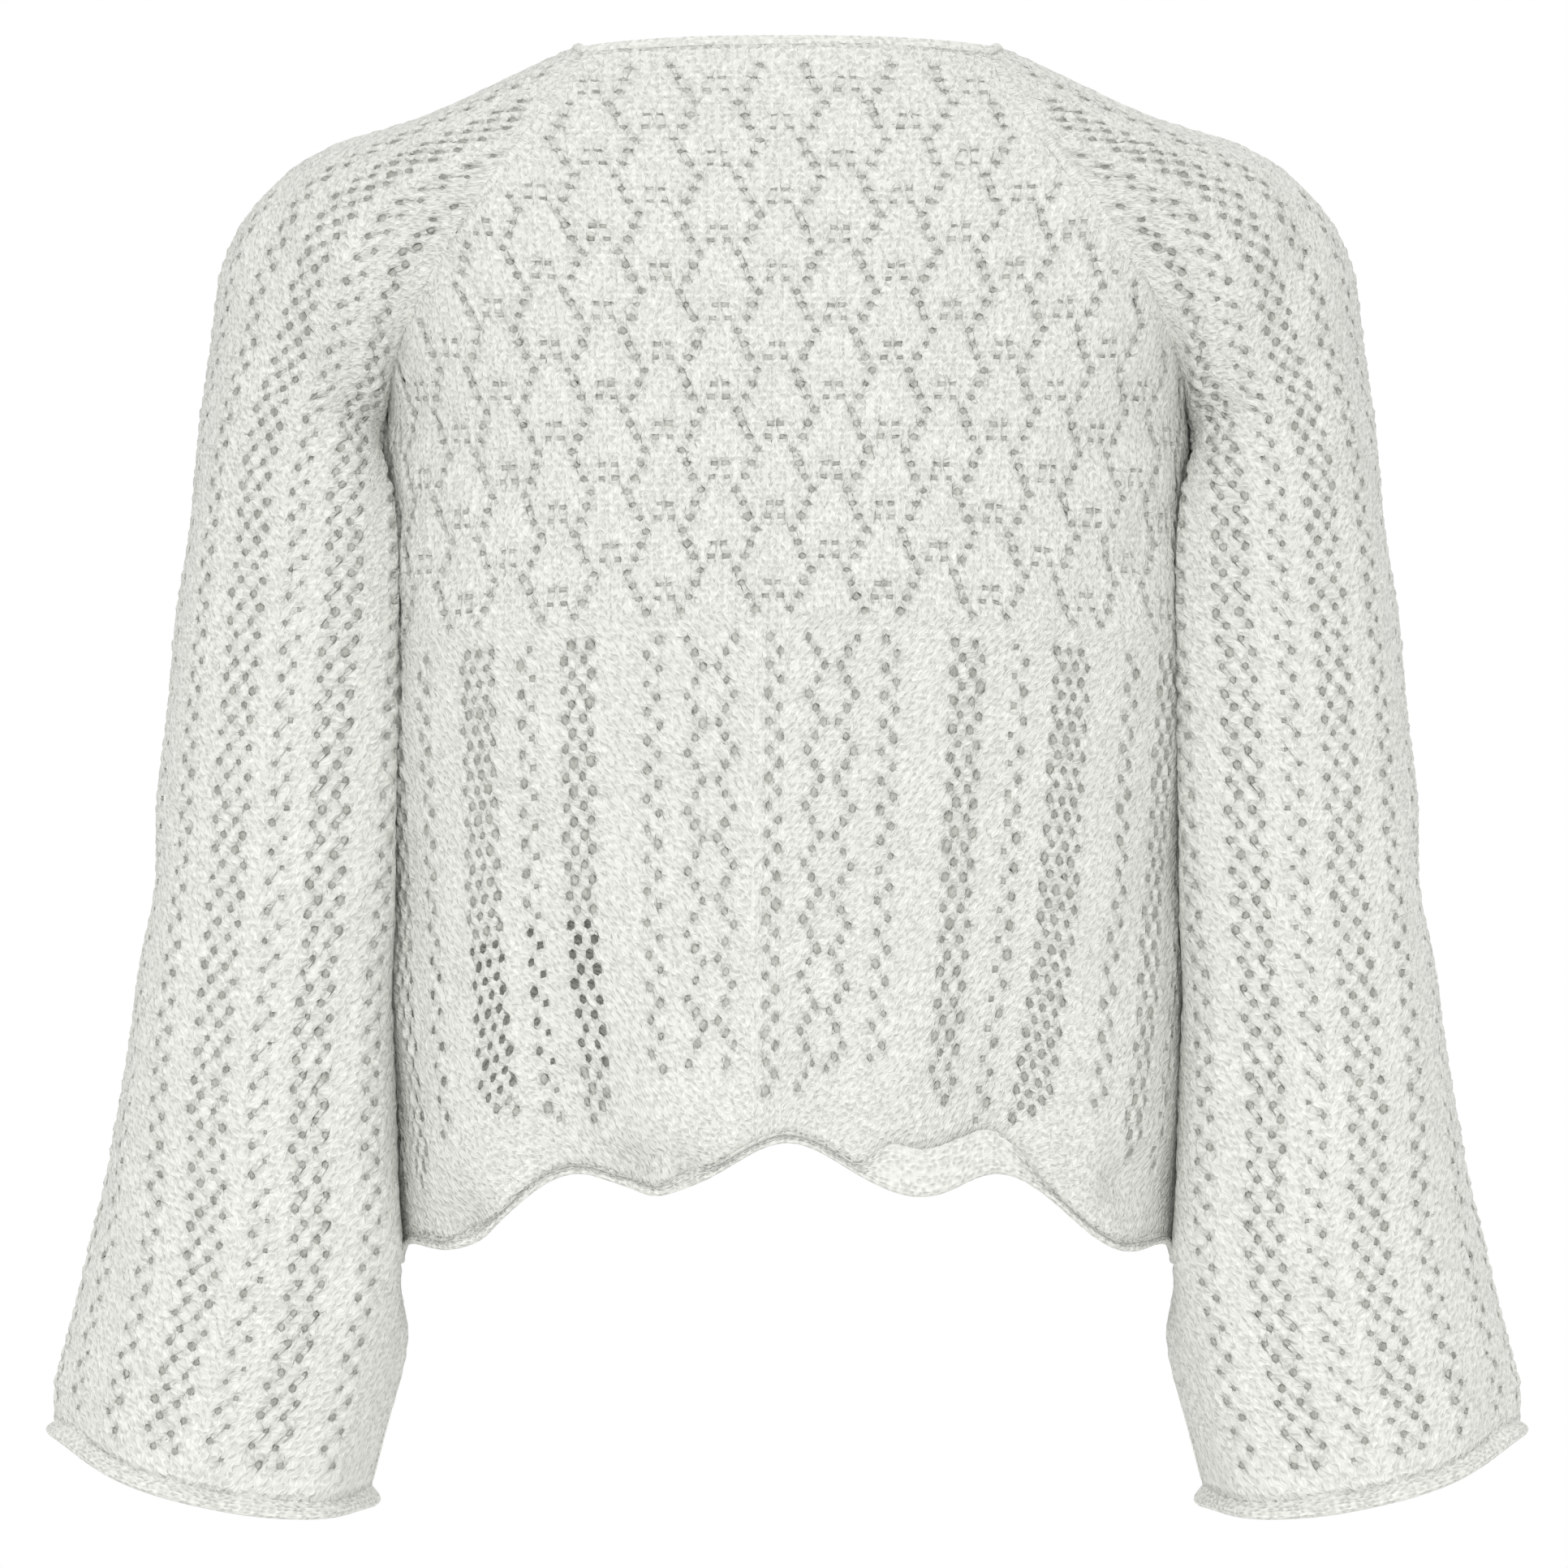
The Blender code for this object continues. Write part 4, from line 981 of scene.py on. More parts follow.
def stitch_row_tree():
    """Lays one stitch after another along a line of points that know which way is outward."""
    tree, given = tree_with("row of stitches", {
        "Stitch": "Object", "Spacing": "Float", "Unevenness": "Float", "Seed": "Int"})
    line = node(tree, "GeometryNodeMeshToCurve", {"Mesh": given["Geometry"]})
    places = node(tree, "GeometryNodeResampleCurve", {"Curve": line, "Length": given["Spacing"]},
                  mode="LENGTH")
    outward = node(tree, "GeometryNodeInputNamedAttribute", {"Name": "outward"}, data_type="FLOAT_VECTOR")
    along = node(tree, "GeometryNodeInputTangent")
    turn = node(tree, "FunctionNodeAxesToRotation", {"Primary Axis": outward, "Secondary Axis": along},
                primary_axis="Z", secondary_axis="X")
    least, most = (
        node(tree, "ShaderNodeMath", {0: 1.0, 1: given["Unevenness"]}, operation=way)
        for way in ("SUBTRACT", "ADD"))
    size = node(tree, "FunctionNodeRandomValue", {"Min": least, "Max": most, "Seed": given["Seed"]},
                data_type="FLOAT")
    shape = node(tree, "GeometryNodeObjectInfo", {"Object": given["Stitch"]})
    laid = node(tree, "GeometryNodeInstanceOnPoints", {
        "Points": places, "Instance": shape.outputs["Geometry"], "Rotation": turn,
        "Scale": size.outputs["Value"],
    })
    return finished_tree(tree, laid, given["Material"])


def shown(name, mesh):
    """An object in the scene for a mesh."""
    piece = bpy.data.objects.new(name, mesh)
    bpy.context.scene.collection.objects.link(piece)
    return piece


def grown(piece, tree, values):
    """Runs a Geometry Nodes tree on a piece and keeps the result as the piece's plain mesh."""
    modifier = piece.modifiers.new(tree.name, "NODES")
    modifier.node_group = tree
    for socket in tree.interface.items_tree:
        if socket.in_out == "INPUT" and socket.name in values:
            modifier[socket.identifier] = values[socket.name]
    depsgraph = bpy.context.evaluated_depsgraph_get()
    mesh = bpy.data.meshes.new_from_object(
        piece.evaluated_get(depsgraph), preserve_all_data_layers=True, depsgraph=depsgraph)
    piece.modifiers.clear()
    piece.data = mesh
    mesh.name = piece.name
    for attribute in ("relief", "outward", "eyelet"):
        if attribute in mesh.attributes:
            mesh.attributes.remove(mesh.attributes[attribute])
    if not mesh.polygons:
        raise RuntimeError(f"{piece.name} came out empty")
    return piece


def mirrored(mesh, name):
    """A copy of a mesh on the other side of the garment."""
    copy = mesh.copy()
    copy.name = name
    co = np.zeros(3 * len(copy.vertices))
    copy.vertices.foreach_get("co", co)
    co.reshape(-1, 3)[:, 0] *= -1
    copy.vertices.foreach_set("co", co)
    copy.flip_normals()
    copy.update()
    return copy


def half_wave(tree, phase):
    """Rises from 0 to 1 and falls again while the phase goes from 0 to 1."""
    angle = node(tree, "ShaderNodeMath", {0: phase, 1: np.pi}, operation="MULTIPLY")
    return node(tree, "ShaderNodeMath", {0: angle}, operation="SINE")


def knit_surface(tree, yarn, purl=False):
    """Combed cotton and viscose yarn, several plies, knitted by machine. The eye sees matte loops with soft
    grooves between them, a slight bloom of loose fibres, and a tone that shifts a little from stitch to
    stitch. Shade is painted into its colour in the grooves, round the holes and at the bottom of closed
    holes."""
    at = node(tree, "ShaderNodeTexCoord").outputs["Object"]
    stitches = node(tree, "ShaderNodeUVMap", uv_map="stitches")
    # Loops of a soft yarn never lie quite alike: they wander over some 4 mm
    wander = node(tree, "ShaderNodeTexNoise", {"Vector": at, "Scale": 260.0, "Detail": 1.0, "Roughness": 0.5})
    centred = node(tree, "ShaderNodeVectorMath", {0: wander.outputs["Color"], 1: (0.5, 0.5, 0.5)},
                   operation="SUBTRACT")
    moved = node(tree, "ShaderNodeVectorMath", {0: centred, "Scale": yarn.wander}, operation="SCALE")
    wandering = node(tree, "ShaderNodeVectorMath", {0: stitches, 1: moved}, operation="ADD")
    place = node(tree, "ShaderNodeSeparateXYZ", {0: wandering})
    u, v = place.outputs["X"], place.outputs["Y"]
    if purl:
        # A purl stitch is a low cross bar, and each row is half a stitch off the last
        row = node(tree, "ShaderNodeMath", {0: v}, operation="FLOOR")
        start = node(tree, "ShaderNodeMath", {0: row, 1: 0.5, 2: u}, operation="MULTIPLY_ADD")
        across = node(tree, "ShaderNodeMath", {0: start}, operation="FRACT")
        lengthwise = node(tree, "ShaderNodeMath", {0: v}, operation="FRACT")
    else:
        # The two legs of a knit stitch lean out and up from its middle
        part = node(tree, "ShaderNodeMath", {0: u}, operation="FRACT")
        middle = node(tree, "ShaderNodeMath", {0: part, 1: 2.0, 2: -1.0}, operation="MULTIPLY_ADD")
        across = node(tree, "ShaderNodeMath", {0: middle}, operation="ABSOLUTE")
        lean = node(tree, "ShaderNodeMath", {0: across, 1: -0.8, 2: v}, operation="MULTIPLY_ADD")
        lengthwise = node(tree, "ShaderNodeMath", {0: lean}, operation="FRACT")
    heights = []
    for phase, sharp in ((across, 0.9 if purl else 0.5), (lengthwise, 0.75)):
        clear = node(tree, "ShaderNodeMath", {0: half_wave(tree, phase), 1: 0.0}, operation="MAXIMUM")
        heights.append(node(tree, "ShaderNodeMath", {0: clear, 1: sharp}, operation="POWER"))
    legs = node(tree, "ShaderNodeMath", dict(enumerate(heights)), operation="MULTIPLY")
    # Worn cloth has small gaps where loops moved apart, a little closer together than its stitches
    gap = node(tree, "ShaderNodeTexVoronoi", {"Vector": wandering, "Scale": 1.2, "Randomness": 0.75},
               voronoi_dimensions="2D")
    filled = node(tree, "ShaderNodeMapRange", {
        "Value": gap.outputs["Distance"], "From Min": 0.08, "From Max": 0.52, "To Min": 0.0, "To Max": 0.62})
    loop = node(tree, "ShaderNodeMath", {0: legs, 1: 0.38, 2: filled}, operation="MULTIPLY_ADD")
    # Loose fibres are 0.02 mm thick, so they are drawn as tufts of 0.6 mm
    fuzz = node(tree, "ShaderNodeTexNoise", {"Vector": at, "Scale": 1600.0, "Detail": 2.0, "Roughness": 0.6})
    loops = node(tree, "ShaderNodeBump", {"Strength": 1.0, "Distance": yarn.loop_depth, "Height": loop})
    # Tone: each ply takes the bleach a little differently, over some 15 mm of cloth
    patch = node(tree, "ShaderNodeTexNoise", {"Vector": at, "Scale": 65.0, "Detail": 4.0, "Roughness": 0.7})
    bleached = node(tree, "ShaderNodeMapRange", {
        "Value": patch, "From Min": 0.3, "From Max": 0.7, "To Min": 0.0, "To Max": 1.0})
    tone = node(tree, "ShaderNodeMix", {0: bleached, 6: (*yarn.shade, 1.0), 7: (*yarn.colour, 1.0)},
                data_type="RGBA")
    # Painted shade: the groove between two loops, the yarn round a hole and the bottom of a closed hole are
    # mixed towards the groove's shade colour, which stands in for the shade that falls there
    groove = node(tree, "ShaderNodeMapRange", {
        "Value": loop, "From Min": 0.1, "From Max": 0.9, "To Min": yarn.groove, "To Max": 0.0})
    blind, hollow = (
        node(tree, "ShaderNodeAttribute", attribute_name=name).outputs["Fac"] for name in ("blind", "hollow"))
    sunk = node(tree, "ShaderNodeMath", {0: hollow, 1: yarn.hollow_shade, 2: groove},
                operation="MULTIPLY_ADD")
    deep = node(tree, "ShaderNodeMath", {0: blind, 1: sunk}, operation="ADD", use_clamp=True)
    return {
        "Base Color": node(tree, "ShaderNodeMix", {
            0: deep, 6: tone.outputs[2], 7: (*yarn.groove_shade_colour, 1.0)}, data_type="RGBA").outputs[2],
        "Normal": node(tree, "ShaderNodeBump", {
            "Strength": 1.0, "Distance": 0.00018, "Height": fuzz, "Normal": loops}),
        "Roughness": 0.88, "Specular IOR Level": 0.25, "Sheen Weight": 0.2, "Sheen Roughness": 0.6,
    }


def sewn_yarn_surface(tree, yarn):
    """The same cotton, twisted harder for seams. The eye sees a rounder and slightly brighter cord, with
    the slanting lines of its two plies."""
    at = node(tree, "ShaderNodeTexCoord").outputs["Object"]
    place = node(tree, "ShaderNodeSeparateXYZ", {0: node(tree, "ShaderNodeUVMap", uv_map="stitches")})
    # Plies turn once in 1 mm of cord
    turn = node(tree, "ShaderNodeMath", {0: place.outputs["X"], 1: 1.0, 2: place.outputs["Y"]},
                operation="MULTIPLY_ADD")
    angle = node(tree, "ShaderNodeMath", {0: turn, 1: 2 * np.pi}, operation="MULTIPLY")
    ply = node(tree, "ShaderNodeMath", {0: angle}, operation="SINE")
    plies = node(tree, "ShaderNodeBump", {"Strength": 1.0, "Distance": 0.00008, "Height": ply})
    fuzz = node(tree, "ShaderNodeTexNoise", {"Vector": at, "Scale": 1600.0, "Detail": 2.0})
    patch = node(tree, "ShaderNodeTexNoise", {"Vector": at, "Scale": 90.0, "Detail": 3.0})
    return {
        "Base Color": node(tree, "ShaderNodeMix", {
            0: patch, 6: (*yarn.shade, 1.0), 7: (*yarn.colour, 1.0)}, data_type="RGBA").outputs[2],
        "Normal": node(tree, "ShaderNodeBump", {
            "Strength": 1.0, "Distance": 0.00015, "Height": fuzz, "Normal": plies}),
        "Roughness": 0.85, "Specular IOR Level": 0.3, "Sheen Weight": 0.15, "Sheen Roughness": 0.6,
    }


def satin_surface(tree, yarn):
    """Polyester satin ribbon, woven five ends to a repeat. The eye sees a smooth, cool grey face with a soft
    gloss and fine threads across."""
    # Threads are 0.12 mm apart in a real ribbon. Here they are 0.5 mm apart, the finest that shows
    weave = node(tree, "ShaderNodeMapping", {
        "Vector": node(tree, "ShaderNodeUVMap", uv_map="stitches"), "Scale": (2.0, 0.4, 1.0)})
    place = node(tree, "ShaderNodeSeparateXYZ", {0: weave})
    thread, along = place.outputs["X"], place.outputs["Y"]
    row = node(tree, "ShaderNodeMath", {0: thread}, operation="FLOOR")
    step = node(tree, "ShaderNodeMath", {0: row, 1: 0.4, 2: along}, operation="MULTIPLY_ADD")
    heights = [half_wave(tree, node(tree, "ShaderNodeMath", {0: phase}, operation="FRACT"))
               for phase in (thread, step)]
    float_height = node(tree, "ShaderNodeMath", dict(enumerate(heights)), operation="MULTIPLY")
    # Between the floating threads the colour drops to 0.86 of the label's: painted shade between the threads
    between = (*[0.86 * part for part in yarn.label], 1.0)
    return {
        "Base Color": node(tree, "ShaderNodeMix", {
            0: float_height, 6: between, 7: (*yarn.label, 1.0)}, data_type="RGBA").outputs[2],
        "Normal": node(tree, "ShaderNodeBump", {
            "Strength": 0.6, "Distance": 0.00006, "Height": float_height}),
        "Roughness": 0.42, "Specular IOR Level": 0.45, "Anisotropic": 0.4, "Sheen Weight": 0.1,
    }


def material_of(name, surface):
    """A material by name, made once. surface builds its nodes and gives the inputs of its shader."""
    material = bpy.data.materials.get(name)
    if not material:
        material = bpy.data.materials.new(name)
        material.use_nodes = True
        tree = material.node_tree
        fill(tree, tree.nodes["Principled BSDF"], surface(tree, bpy.context.scene.pullover_yarn))
    return material


def knit_side():
    return material_of("machine-knit cotton", knit_surface)


def purl_side():
    return material_of("machine-knit cotton, purl side", partial(knit_surface, purl=True))


def seam_yarn():
    return material_of("twisted cotton seam yarn", sewn_yarn_surface)


def length(name, description, default):
    """A setting in metres."""
    return FloatProperty(name=name, description=description, default=default, unit="LENGTH")


def fraction(name, description, default):
    """A setting from 0 to 1."""
    return FloatProperty(name=name, description=description, default=default, min=0, max=1, subtype="FACTOR")


def amount(name, description, default):
    """A setting from 0 up."""
    return FloatProperty(name=name, description=description, default=default, min=0)


def hole_size(name, default):
    """Width and height of a hole."""
    return FloatVectorProperty(
        name=name, description="Width and height", default=default, size=2, unit="LENGTH")


def colour(name, description, default):
    """A colour, given as sRGB."""
    return FloatVectorProperty(
        name=name, description=description, default=linear(default), size=3, min=0, max=1, subtype="COLOR")


class KnitSizes(bpy.types.PropertyGroup):
    """Gauge and lace of the knitted pieces."""
    body_stitch: length("Body stitch", "Width of a stitch of back and front at the purl row", 0.00385)
    yoke_row: length("Yoke row", "Height of a knit row above the purl row", 0.00280)
    body_row: length("Body row", "Height of a knit row below the purl row", 0.0030)
    sleeve_row: length("Sleeve row", "Height of a knit row of the sleeves", 0.0030)
    sleeve_stitches: IntProperty(
        name="Sleeve stitches", description="Stitches round a sleeve", default=88, min=40)
    wall: length("Wall", "Thickness of the knitted cloth", 0.0013)
    relief: length("Relief", "How far arches and purl row stand out", 0.0010)
    yoke_hole: hole_size("Hole of the yoke", (0.0036, 0.0033))
    body_hole: hole_size("Hole of the body", (0.0032, 0.0046))
    sleeve_hole: hole_size("Hole of the sleeves", (0.0028, 0.0036))
    flat_hole: hole_size("Hole of the back's upper rows", (0.0038, 0.0025))
    blind_depth: length("Closed hole's depth", "Depth of a hole that is closed from behind", 0.0007)
    bumpiness: fraction("Bumpiness", "How far single stitches stand out, as a share of the relief", 0.22)
    drift: length("Unevenness", "Slow unevenness of the cloth", 0.0011)
    seed: IntProperty(name="Seed", description="Seed of the small unevenness of stitches", default=7)


class EdgeSizes(bpy.types.PropertyGroup):
    """Edges and seams."""
    hem_roll: length("Hem roll", "Height of the rolled hem", 0.0045)
    cuff_roll: length("Cuff roll", "Height of the rolled cuff", 0.0075)
    hem_radius: length("Hem's curl", "Radius of the hem's curl", 0.0012)
    cuff_radius: length("Cuff's curl", "Radius of the cuff's curl", 0.0020)
    neck_height: length("Neck edge", "Height of the neck's edge", 0.0045)
    neck_thickness: length("Neck thickness", "Thickness of the neck's edge", 0.0034)
    seam_stitch: length("Seam stitch", "Length of a stitch along a seam", 0.0029)
    seam_width: length("Seam width", "Width of a line of stitches beside a seam", 0.0030)
    seam_inset: length("Seam inset", "From a seam to the line of stitches beside it", 0.0016)
    seam_band: length("Raglan ridge", "Width of the ridge along a raglan seam", 0.0056)
    seam_thickness: length("Ridge thickness", "Thickness of the ridge along a raglan seam", 0.0013)
    plain_strip: length("Plain strip", "Cloth without holes beside a raglan seam", 0.0065)


class YarnFinish(bpy.types.PropertyGroup):
    """Colours of yarn and label, and the painted shade of grooves and holes."""
    colour: colour("Yarn", "Off-white yarn", "DEDFD9")
    shade: colour("Yarn, darker", "The same yarn where it took less bleach", "D4D5CF")
    # Painted shade: the groove's colour and strength, and the darkening round a hole, stand in for the shade
    # that falls between loops and at holes
    groove_shade_colour: colour("Groove", "Yarn deep between two loops", "A1A29A")
    groove: fraction("Groove strength", "How much darker the grooves are", 0.44)
    hollow_shade: fraction("Round a hole", "How much darker the yarn is at a hole", 0.14)
    loop_depth: length("Loop depth", "Height of a loop of yarn above its grooves", 0.0008)
    wander: amount("Wander", "How far loops lie from their regular places, in stitches", 0.9)
    label: colour("Label", "Blank satin label", "D5D3DC")


class StudioSizes(bpy.types.PropertyGroup):
    """Camera, floor and lights."""
    distance: length("Distance", "Camera to the middle of the garment", 4.04)
    frame_width: length("Frame", "Width that the picture takes in", 0.6762)
    floor_z: length("Floor", "Height of the floor", -0.80)
    floor_radius: length("Floor radius", "Radius of the floor", 1.15)
    sky: amount("Sky", "Strength of the white surroundings", 1.0)
    key: amount("Key light", "Strength of the large soft lamp", 14.0)
    fill: amount("Fill light", "Strength of the lamp near the camera", 38.0)


def settings():
    """The user's sizes."""
    return bpy.context.scene.pullover_knit, bpy.context.scene.pullover_edges


def belongs(piece, slot, *nodes):
    """Puts a finished piece on the garment's body, in place of its solids."""
    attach(piece, "root")
    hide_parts(*nodes)
    return piece


def knit_piece(name, grid, knit):
    """Knits a stitch grid into a piece of cloth."""
    piece = shown(name, knitted(name, grid, grid.finished(knit)))
    tree = bpy.data.node_groups.get("knit wall") or knit_wall_tree()
    return grown(piece, tree, {
        "Wall thickness": knit.wall, "Relief": knit.relief, "Blind depth": knit.blind_depth,
        "Material": knit_side(),
    })


def cloth_relief(grid):
    """A shallow groove between two wales of stitches. The cloth swells beside a seam and sinks at it."""
    inset = grid.form.half[:, None] - np.abs(grid.places)
    grid.relief += np.where(grid.columns % 2 == 0, *WALE_RELIEF)
    grid.relief += SEAM_SWELL * np.exp(-((inset - SEAM_SWELL_AT) / SEAM_SWELL_WIDTH) ** 2)
    grid.relief -= SEAM_SINK * np.exp(-(inset / SEAM_SWELL_WIDTH) ** 2)


def shade_in(face, centre, side, z):
    """Painted shade at the bottom of a closed hole in the body's bands, or 0 where the hole goes right
    through.
    """
    if centre <= SIDE_BANDS_FROM:
        return SOFT_SHADE
    return 0.0 if face == "back" and side < 0 and OPEN_Z[0] < z < OPEN_Z[1] else DEEP_SHADE


def knit_panel(face, knit, edges):
    """Knits the back or the front."""
    form = panel_form(face, knit, edges)
    middle_z = form.grid[:, DENSE // 2, 2]
    up = np.clip((middle_z - PATTERN_CHANGE_Z) / -PATTERN_CHANGE_Z, 0.0, 1.0)
    down = np.minimum(middle_z - PATTERN_CHANGE_Z, 0.0)
    half_stitch = knit.body_stitch / 2 * (1 + YOKE_SPREAD * up ** YOKE_SPREAD_POWER + STITCH_TAPER * down)
    off = PATTERN_OFF[0] + PATTERN_OFF[1] * middle_z
    grid = StitchGrid(form, half_stitch, knit.seed + (face == "front"), off if face == "back" else None)
    rows = np.arange(len(form.grid))[:, None]
    change, shift, last = form.change_row, YOKE_SHIFT[face], len(form.grid) - 1
    cloth_relief(grid)
    in_yoke = (rows > 1) & (rows < change - 1)
    grid.relief += np.where(in_yoke, ARCH_RELIEF * arch_rise(rows, grid.columns - shift, change), 0.0)
    grid.relief[change] += PURL_RELIEF
    grid.relief[change + 1] -= BELOW_PURL
    for row in range(2 + (change - 1) % 2, change, 2):
        hole = knit.flat_hole if middle_z[row] > FLAT_ABOVE_Z and face == "back" else knit.yoke_hole
        for centre, size in yoke_holes(row, change, shift):
            if grid.from_edge(row, centre) > edges.plain_strip:
                grid.open_hole(row, centre, size, hole, SOFT_SHADE)
    for n, row in enumerate(range(change + 3, last - PLAIN_ABOVE_HEM, 2)):
        for centre, kind in BODY_BANDS[face]:
            for side in ((1, -1) if centre > 1.0 else (1,)):
                shade = shade_in(face, centre, side, middle_z[row])
                for place, size in band_holes(kind, centre * side, n, side):
                    across = (place * half_stitch[row] + grid.off[row]) / form.half[row]
                    plain = PLAIN_ABOVE_HEM + PLAIN_OVER_LOBE * np.sin(np.pi * SCALLOPS_TO_SIDE * across) ** 2
                    if grid.from_edge(row, place) > SEAM_STRIP and row < last - plain:
                        grid.open_hole(row, place, size, knit.body_hole, shade)
    column = grid.columns[:-1] + 0.5
    grid.slant[change:] = WALE_SLANT * np.sign(column) * (np.abs(column) > STRAIGHT_COLUMNS)
    return belongs(knit_piece(face + "_lace", grid, knit), face + "_knit", face + "_panel"), form


def turn_up(face, x):
    """How far the hem is turned up at x, and how far its edge stands off."""
    rise, off = np.zeros((2, len(x)))
    for from_x, to_x, fade_in, fade_out, height, stand in HEM_TURN_UPS[face]:
        share = ease((x - from_x) / fade_in) * ease((to_x - x) / fade_out)
        rise += share * height
        off += share * stand
    return rise, off


def curl_sizes(line, knit, radius, shape, fuller=(0.0, 0.0)):
    """The radius of an edge's curl and how far it comes up again, from point to point."""
    pace, drift, swell, rise, rise_drift = shape
    uneven, beat = cloth_drift(line * pace), np.sin(2 * np.pi * run_along(line) / knit.body_stitch)
    return (radius * (1 + drift * uneven + swell * beat + fuller[0]),
            radius * (rise + rise_drift * uneven + fuller[1]))


def knit_hem(face, form, knit, edges):
    """Rolls the hem of the back or front outwards."""
    edge = last_row(form, closed=False)
    height, off = turn_up(face, edge[0][:, 0])
    radius, rise = curl_sizes(edge[0], knit, edges.hem_radius, HEM_CURL)
    hem = curled_edge(face + "_hem", edge, edges.hem_roll, radius + TURN_UP_CURL * height, rise + height,
                      HEM_OFF + off, knit.wall * HEM_THICKNESS, closed=False)
    return belongs(hem, face + "_knit", face + "_panel")


def knit_face(face, knit, edges):
    """Knits the back or the front with its hem."""
    piece, form = knit_panel(face, knit, edges)
    return piece, knit_hem(face, form, knit, edges)


def knit_sleeve(knit, edges):
    """Knits the right sleeve."""
    form = sleeve_form(knit, edges)
    steady = int(np.argmax(form.places >= 1.1))
    at_steady = form.half[steady] / knit.sleeve_stitches
    half_stitch = np.where(np.arange(len(form.grid)) < steady, at_steady, form.half / knit.sleeve_stitches)
    grid = StitchGrid(form, half_stitch, knit.seed + 2)
    cloth_relief(grid)
    grid.slant[:] = SLEEVE_SLANT * np.sign(grid.columns[:-1] + 0.5 + SLEEVE_TURN)
    last = len(form.grid) - 1
    for n, row in enumerate(range(3, last - PLAIN_ABOVE_CUFF, 2)):
        strip = SEAM_STRIP if row >= steady else edges.plain_strip
        for centre, kind in SLEEVE_BANDS:
            if abs(centre) < PLAIN_SHOULDER[0] and form.places[row] < PLAIN_SHOULDER[1]:
                continue
            for place, size in band_holes(kind, centre, n, 1):
                if grid.from_edge(row, place) > strip:
                    grid.open_hole(row, place, size, knit.sleeve_hole, DEEP_SHADE)
    piece = knit_piece("right_sleeve_lace", grid, knit)
    return piece, form


def knit_cuff(form, knit, edges):
    """Rolls the right cuff outwards, fullest at its inner corner."""
    edge = last_row(form, closed=True)
    turn = np.linspace(-1.0, 1.0, len(edge[0]), endpoint=False)
    corner = ease((np.abs(turn) - CUFF_CORNER) / (1.0 - CUFF_CORNER))
    fuller = [share * corner for share in CORNER_CURL]
    radius, rise = curl_sizes(edge[0], knit, edges.cuff_radius, CUFF_CURL, fuller)
    tip = np.full(len(turn), CUFF_TIP)
    return curled_edge("right_cuff", edge, edges.cuff_roll, radius, rise, tip, knit.wall, closed=True)


def label_rings(form):
    """Rings of points round the label's section, from its top down."""
    width, height = LABEL_SIZE
    across = np.linspace(-width / 2, width / 2, LABEL_GRID[0])
    fall = form.grid[0, DENSE // 2, 2] - form.grid[:, DENSE // 2, 2]
    rings = []
    for depth in LABEL_DROP + np.linspace(0.0, height, LABEL_GRID[1]):
        row = np.interp(depth, fall, np.arange(len(fall)))
        low = int(row)
        (points, normals), (below, facing) = form.at(low, across), form.at(low + 1, across)
        points = points * (1 - row + low) + below * (row - low)
        normals = unit(normals * (1 - row + low) + facing * (row - low))
        down = (depth - LABEL_DROP) / height
        off = LABEL_OFF_WALL + LABEL_LIFT * down ** 2 + LABEL_WAVE[0] * down * np.sin(across * LABEL_WAVE[1])
        face = points - normals * off[:, None]
        rings.append(np.concatenate([face, (face - normals * LABEL_THICKNESS)[::-1]]))
    return np.array(rings)


class PULLOVER_OT_back(bpy.types.Operator):
    """Knit the back with its yoke of arches, its lower bands of lace and its hem"""
    bl_idname = "pullover.back"
    bl_label = "Back"

    def execute(self, context):
        piece, hem = knit_face("back", *settings())
        return {"FINISHED"}


class PULLOVER_OT_front(bpy.types.Operator):
    """Knit the front, the same as the back with a lower neck"""
    bl_idname = "pullover.front"
    bl_label = "Front"

    def execute(self, context):
        piece, hem = knit_face("front", *settings())
        return {"FINISHED"}


class PULLOVER_OT_sleeves(bpy.types.Operator):
    """Knit the two bell sleeves with their rolled cuffs"""
    bl_idname = "pullover.sleeves"
    bl_label = "Sleeves"

    def execute(self, context):
        knit, edges = settings()
        right, form = knit_sleeve(knit, edges)
        cuff = knit_cuff(form, knit, edges)
        left = shown("left_sleeve_lace", mirrored(right.data, "left_sleeve_lace"))
        left_cuff = shown("left_cuff", mirrored(cuff.data, "left_cuff"))
        for piece, roll, side in ((right, cuff, "right"), (left, left_cuff, "left")):
            belongs(piece, "sleeve_knit", "sleeve_" + side)
            belongs(roll, "sleeve_knit", "sleeve_" + side)
        return {"FINISHED"}


class PULLOVER_OT_neck_edge(bpy.types.Operator):
    """Edge the neck with a narrow rounded band"""
    bl_idname = "pullover.neck_edge"
    bl_label = "Neck edge"

    def execute(self, context):
        knit, edges = settings()
        forms = [panel_form(face, knit, edges) for face in ("back", "front")]
        line, outward, upward = neck_loop(*forms, sleeve_form(knit, edges))
        run = run_round(line)
        turns = np.linspace(0.0, 2 * np.pi, NECK_SIDES + 1)
        middle = line + upward * (BAND_CLEARANCE + edges.neck_height / 2)
        # Slipped stitches wind round the edge like a loose rope
        beat = 1 + 0.05 * np.sin(2 * np.pi * run[:-1, None] / knit.body_stitch + turns[:-1])
        across = edges.neck_thickness * np.cos(turns[:-1]) / 2 * beat
        up = edges.neck_height * np.sin(turns[:-1]) / 2 * beat
        rings = swept(middle, outward, upward, np.stack([across, up], axis=-1))
        around = turns / (2 * np.pi) * NECK_STITCHES
        mesh = lofted("neck_edge", rings, run / knit.body_stitch, around, closed=True)
        mesh.materials.append(purl_side())
        belongs(shown("neck_edge", mesh), "neckband_knit", "neckband")
        return {"FINISHED"}


